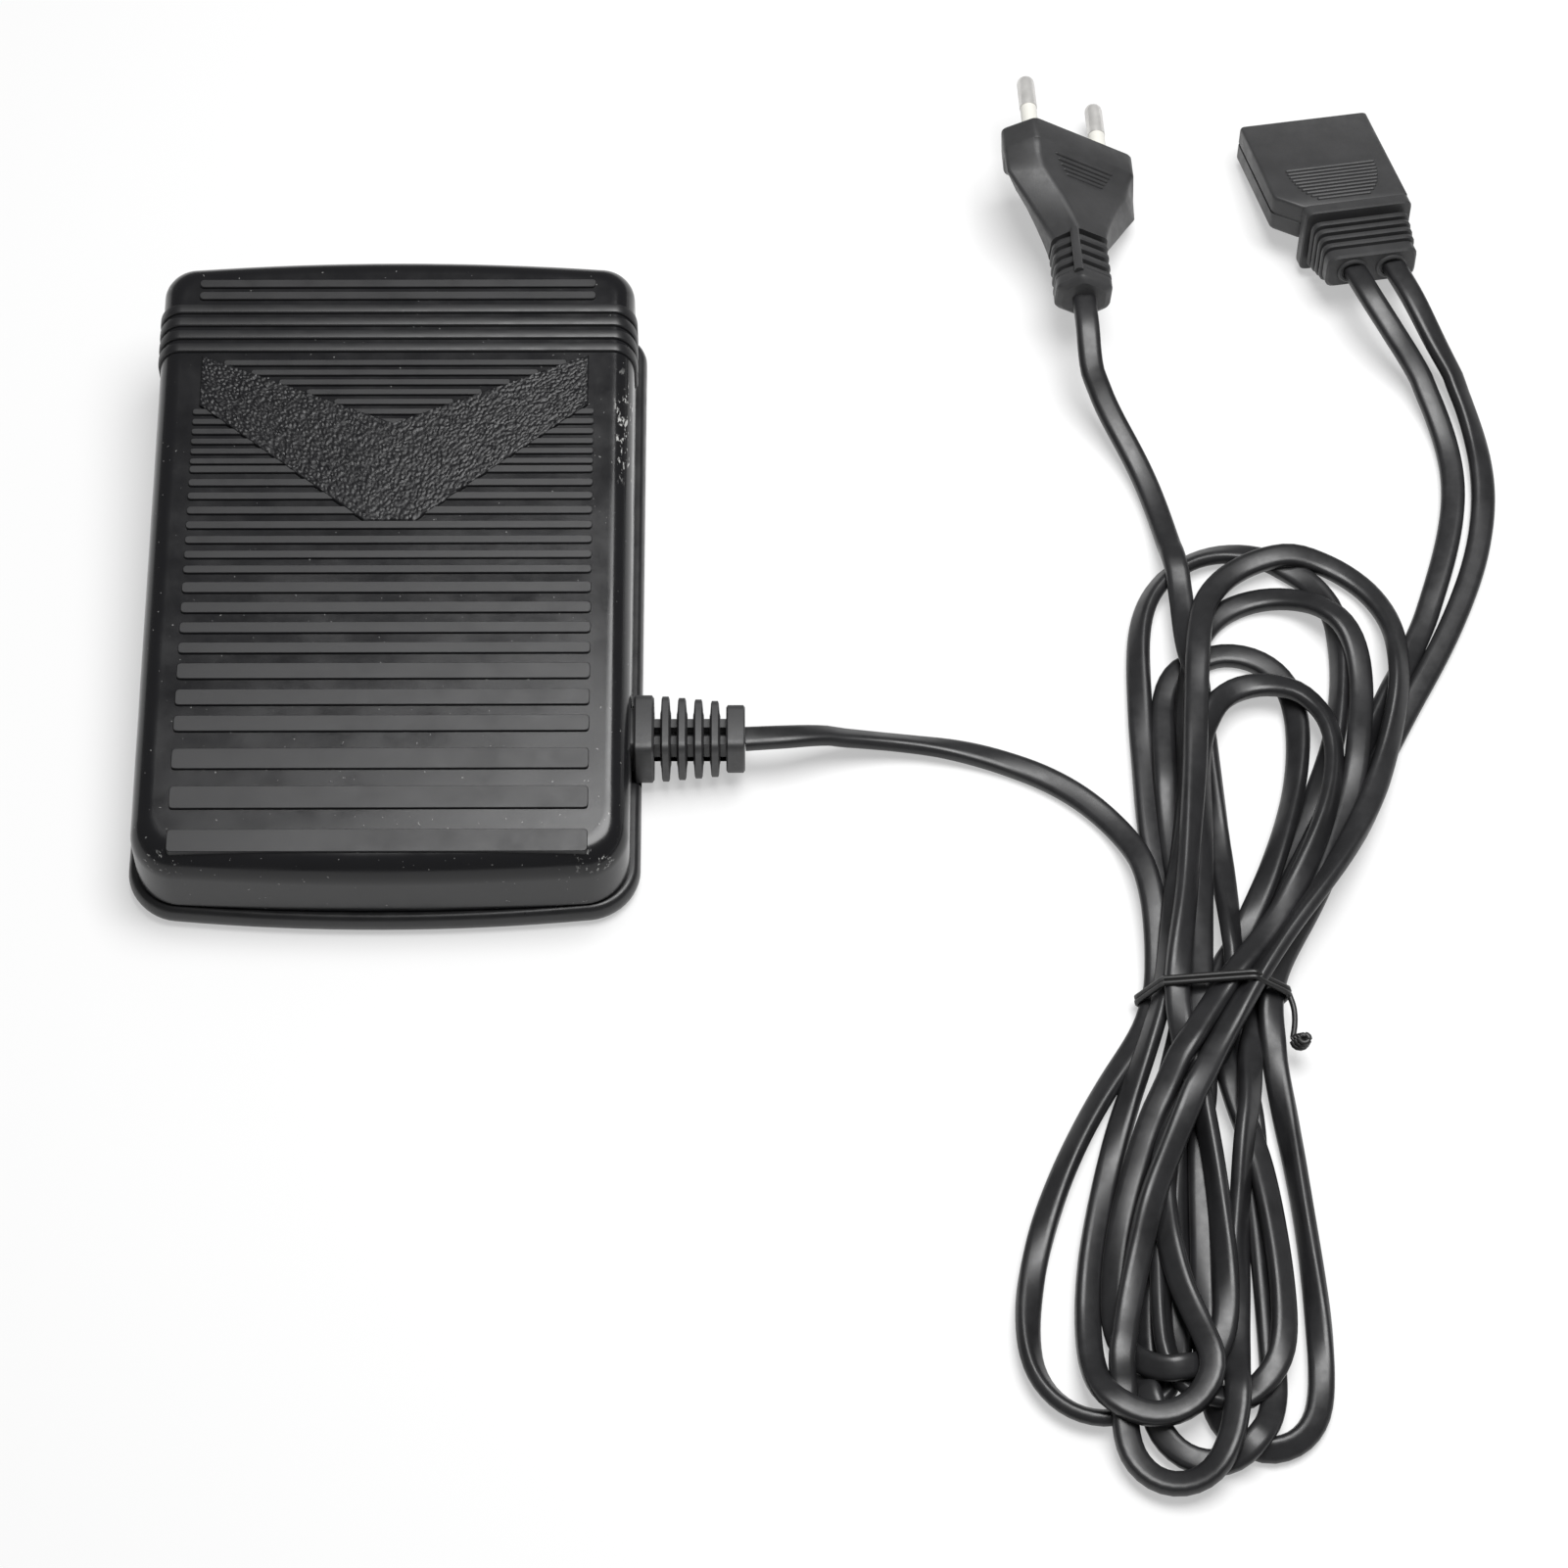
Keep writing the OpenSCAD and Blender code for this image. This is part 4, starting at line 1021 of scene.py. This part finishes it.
def make_connector_boot():
    """The boot behind the shell: a flange, a ribbed neck, and a block with a mouth for each cord."""
    mould = Mould()

    def plate(y0, y1, w, h, r=1.8, soft=0.3):
        levels = [(y0, soft), (y0 - soft, 0), (y1 + soft, 0), (y1, soft)]
        mould.loft([[(BOOT_X + p[0], y, BOOT_Z + p[1]) for p in box_ring(w - 2 * k, h - 2 * k, r)]
                    for y, k in levels])

    plate(0, -3, 24.7, 16)
    plate(-2.8, -12, 19, 7.4, 1.5, 0.01)
    for i in range(4):
        plate(-4.0 - 2.0 * i, -5.3 - 2.0 * i, 22.6 - 0.4 * i, 12.6 - 0.9 * i, 2.2, 0.3)
    plate(-11.3, -14.5, 20.8, 8.4, 2.4, 0.5)
    for x in (-4.5, 4.5):
        mouth = [(-14.2, 3.6), (-14.9, 3.5), (-15.1, 3.1), (-15.0, 2.6), (-14.0, 2.4)]
        mould.loft([[(BOOT_X + x + r * c, y, BOOT_Z + 0.85 * r * s) for c, s in circle] for y, r in mouth])
    return piece("connector_boot", mould, [finish["pvc_dark_grey"]], "base", ["connector_relief"],
                 place=CONNECTOR_AT, angle=34)


# Tie: a thin wire wound once round the waist of the hank, with a twisted knot at its side


def tie_outline(lines, turns):
    """The outline of the strands at the tie, as (x, z) points."""
    points = []
    for line, turn in zip(lines, turns):
        for i in range(len(line) - 1):
            if (line[i, 1] - TIE_Y) * (line[i + 1, 1] - TIE_Y) <= 0:
                x, z, t = line[i, 0], line[i, 2], turn[i]
                for c, s in round_points(16):
                    u, v = CORD_W / 2 * c, CORD_T / 2 * s
                    points.append(Vector((x + u * cos(t) - v * sin(t), z + u * sin(t) + v * cos(t))))
    around = [points[i] for i in geometry.convex_hull_2d(points)]
    centre = sum(around, Vector((0, 0))) / len(around)
    return [centre + (p - centre) * (1 + 0.7 / (p - centre).length) for p in around]


def wire(mould, line, r, sides=10):
    """A round wire along a line of points. Its section flips where the wire runs nearly along upright."""
    line = np.array(line, float)
    heading = np.gradient(line, axis=0)
    heading /= np.linalg.norm(heading, axis=1)[:, None]
    upright = np.array([0.13, 0.98, 0.11])
    rings = []
    for p, d in zip(line, heading):
        a = np.cross(d, upright)
        a /= np.linalg.norm(a)
        b = np.cross(d, a)
        rings.append([p + r * (a * c + b * s) for c, s in round_points(sides)])
    mould.loft(rings)


def make_tie(lines, turns):
    """Two turns of the wire, one tail and the knot at its end."""
    mould = Mould()
    wire_r = 0.6
    around = tie_outline(lines, turns)
    start = max(range(len(around)), key=lambda i: around[i][0])
    around = around[start:] + around[:start] + [around[start]]
    for shift in (-0.55, 0.55):
        loop = [(p[0], TIE_Y + shift + 1.2 * sin(pi * i / len(around)), max(p[1], 0.75))
                for i, p in enumerate(around)]
        wire(mould, smooth_line(loop, 1.2), wire_r)
    x, z = around[0]
    tail = [(x, TIE_Y, z), (x + 0.8, TIE_Y - 3, z - 0.4), (x + 0.9, TIE_Y - 6, z - 1.2),
            (x + 0.4, TIE_Y - 9, z - 2)]
    wire(mould, smooth_line(tail, 0.8), wire_r)
    knot = []
    for i in range(40):
        a = 2 * pi * i / 12
        r = 1.5 * (1 - i / 80)
        knot.append((x + 1.4 + r * cos(a) + i * 0.03, TIE_Y - 10.5 + r * sin(a), z - 1.4 + 0.05 * i))
    wire(mould, knot, 0.65)
    return piece("tie_wire", mould, [finish["tie_black"]], "base", ["bundle_tie"])


# Springs: round wire coils, wound at their full length


# Name, CAD node, places (x, y), radius, wire radius, lowest and highest z, rounds, and the share of its
# length that a spring keeps at full travel
SPRINGS = [("treadle_springs", "return_springs", [(-SPRING_X, SPRING_Y), (SPRING_X, SPRING_Y)],
            5.3, 0.62, 3, 29, 7, 0.642),
           ("contact_spring", "plunger_spring", [(PLUNGER_X, PLUNGER_Y)], 1.85, 0.28, 3, 22, 9, 0.715)]


def make_springs():
    """The coils, each wound evenly from its lowest to its highest z."""
    round_steps = 28
    for name, cad_name, centres, r, wire_r, z0, z1, rounds, keep in SPRINGS:
        mould = Mould()
        steps = rounds * round_steps
        for cx, cy in centres:
            line = []
            for i in range(steps + 1):
                a = 2 * pi * i / round_steps
                z = z0 + wire_r + (z1 - z0 - 2 * wire_r) * i / steps
                line.append((cx + r * cos(a), cy + r * sin(a), z))
            wire(mould, line, wire_r, 8)
        spring = piece(name, mould, [finish["steel"]], "base", [cad_name])
        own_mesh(spring)


make_treadle()
make_base()
relief = make_relief()
plug = make_plug()
pins, sleeves = make_pins()
shell = make_connector_shell()
boot = make_connector_boot()
tie = make_tie(fine_lines, fine_turns)
make_springs()

# CAD nodes that stay take a worked finish

for entry in frame["record"]["subparts"]:
    cad = frame["nodes"][entry["node"]]
    cad.data.materials.clear()
    cad.data.materials.append(finish[entry["material_slot"]])

# Floor and light


def area(name, at, aim, wide, deep, power):
    """A soft area light at a place, aimed at a point, in metres."""
    data = bpy.data.lights.new(name, "AREA")
    data.shape = "RECTANGLE"
    data.size, data.size_y = wide, deep
    data.energy = power
    made = bpy.data.objects.new(name, data)
    bpy.context.scene.collection.objects.link(made)
    made.location = at
    made.rotation_mode = "QUATERNION"
    made.rotation_quaternion = (Vector(aim) - Vector(at)).to_track_quat("-Z", "Y")


def light_scene():
    """A white room, one softbox above, and a pale floor that glows a little."""
    world = bpy.data.worlds.new("studio")
    bpy.context.scene.world = world
    world.use_nodes = True
    world.node_tree.nodes["Background"].inputs["Color"].default_value = (1, 1, 1, 1)
    world.node_tree.nodes["Background"].inputs["Strength"].default_value = 0.2
    bpy.context.scene.view_settings.view_transform = "Standard"
    area("softbox", (0.27, 0.08, 1.0), (0.2, 0.05, 0), 0.66, 0.6, 14)
    floor = bpy.data.meshes.new("floor")
    reach = 4
    floor.from_pydata([(-reach, -reach, 0), (reach, -reach, 0), (reach, reach, 0), (-reach, reach, 0)],
                      [], [(0, 1, 2, 3)])
    ground = bpy.data.objects.new("floor", floor)
    bpy.context.scene.collection.objects.link(ground)
    made, _, bsdf = shader("pale_floor", 0.7)
    bsdf.inputs["Base Color"].default_value = (0.42, 0.42, 0.42, 1)
    bsdf.inputs["Emission Color"].default_value = (1, 1, 1, 1)
    bsdf.inputs["Emission Strength"].default_value = 0.45
    floor.materials.append(made)


light_scene()
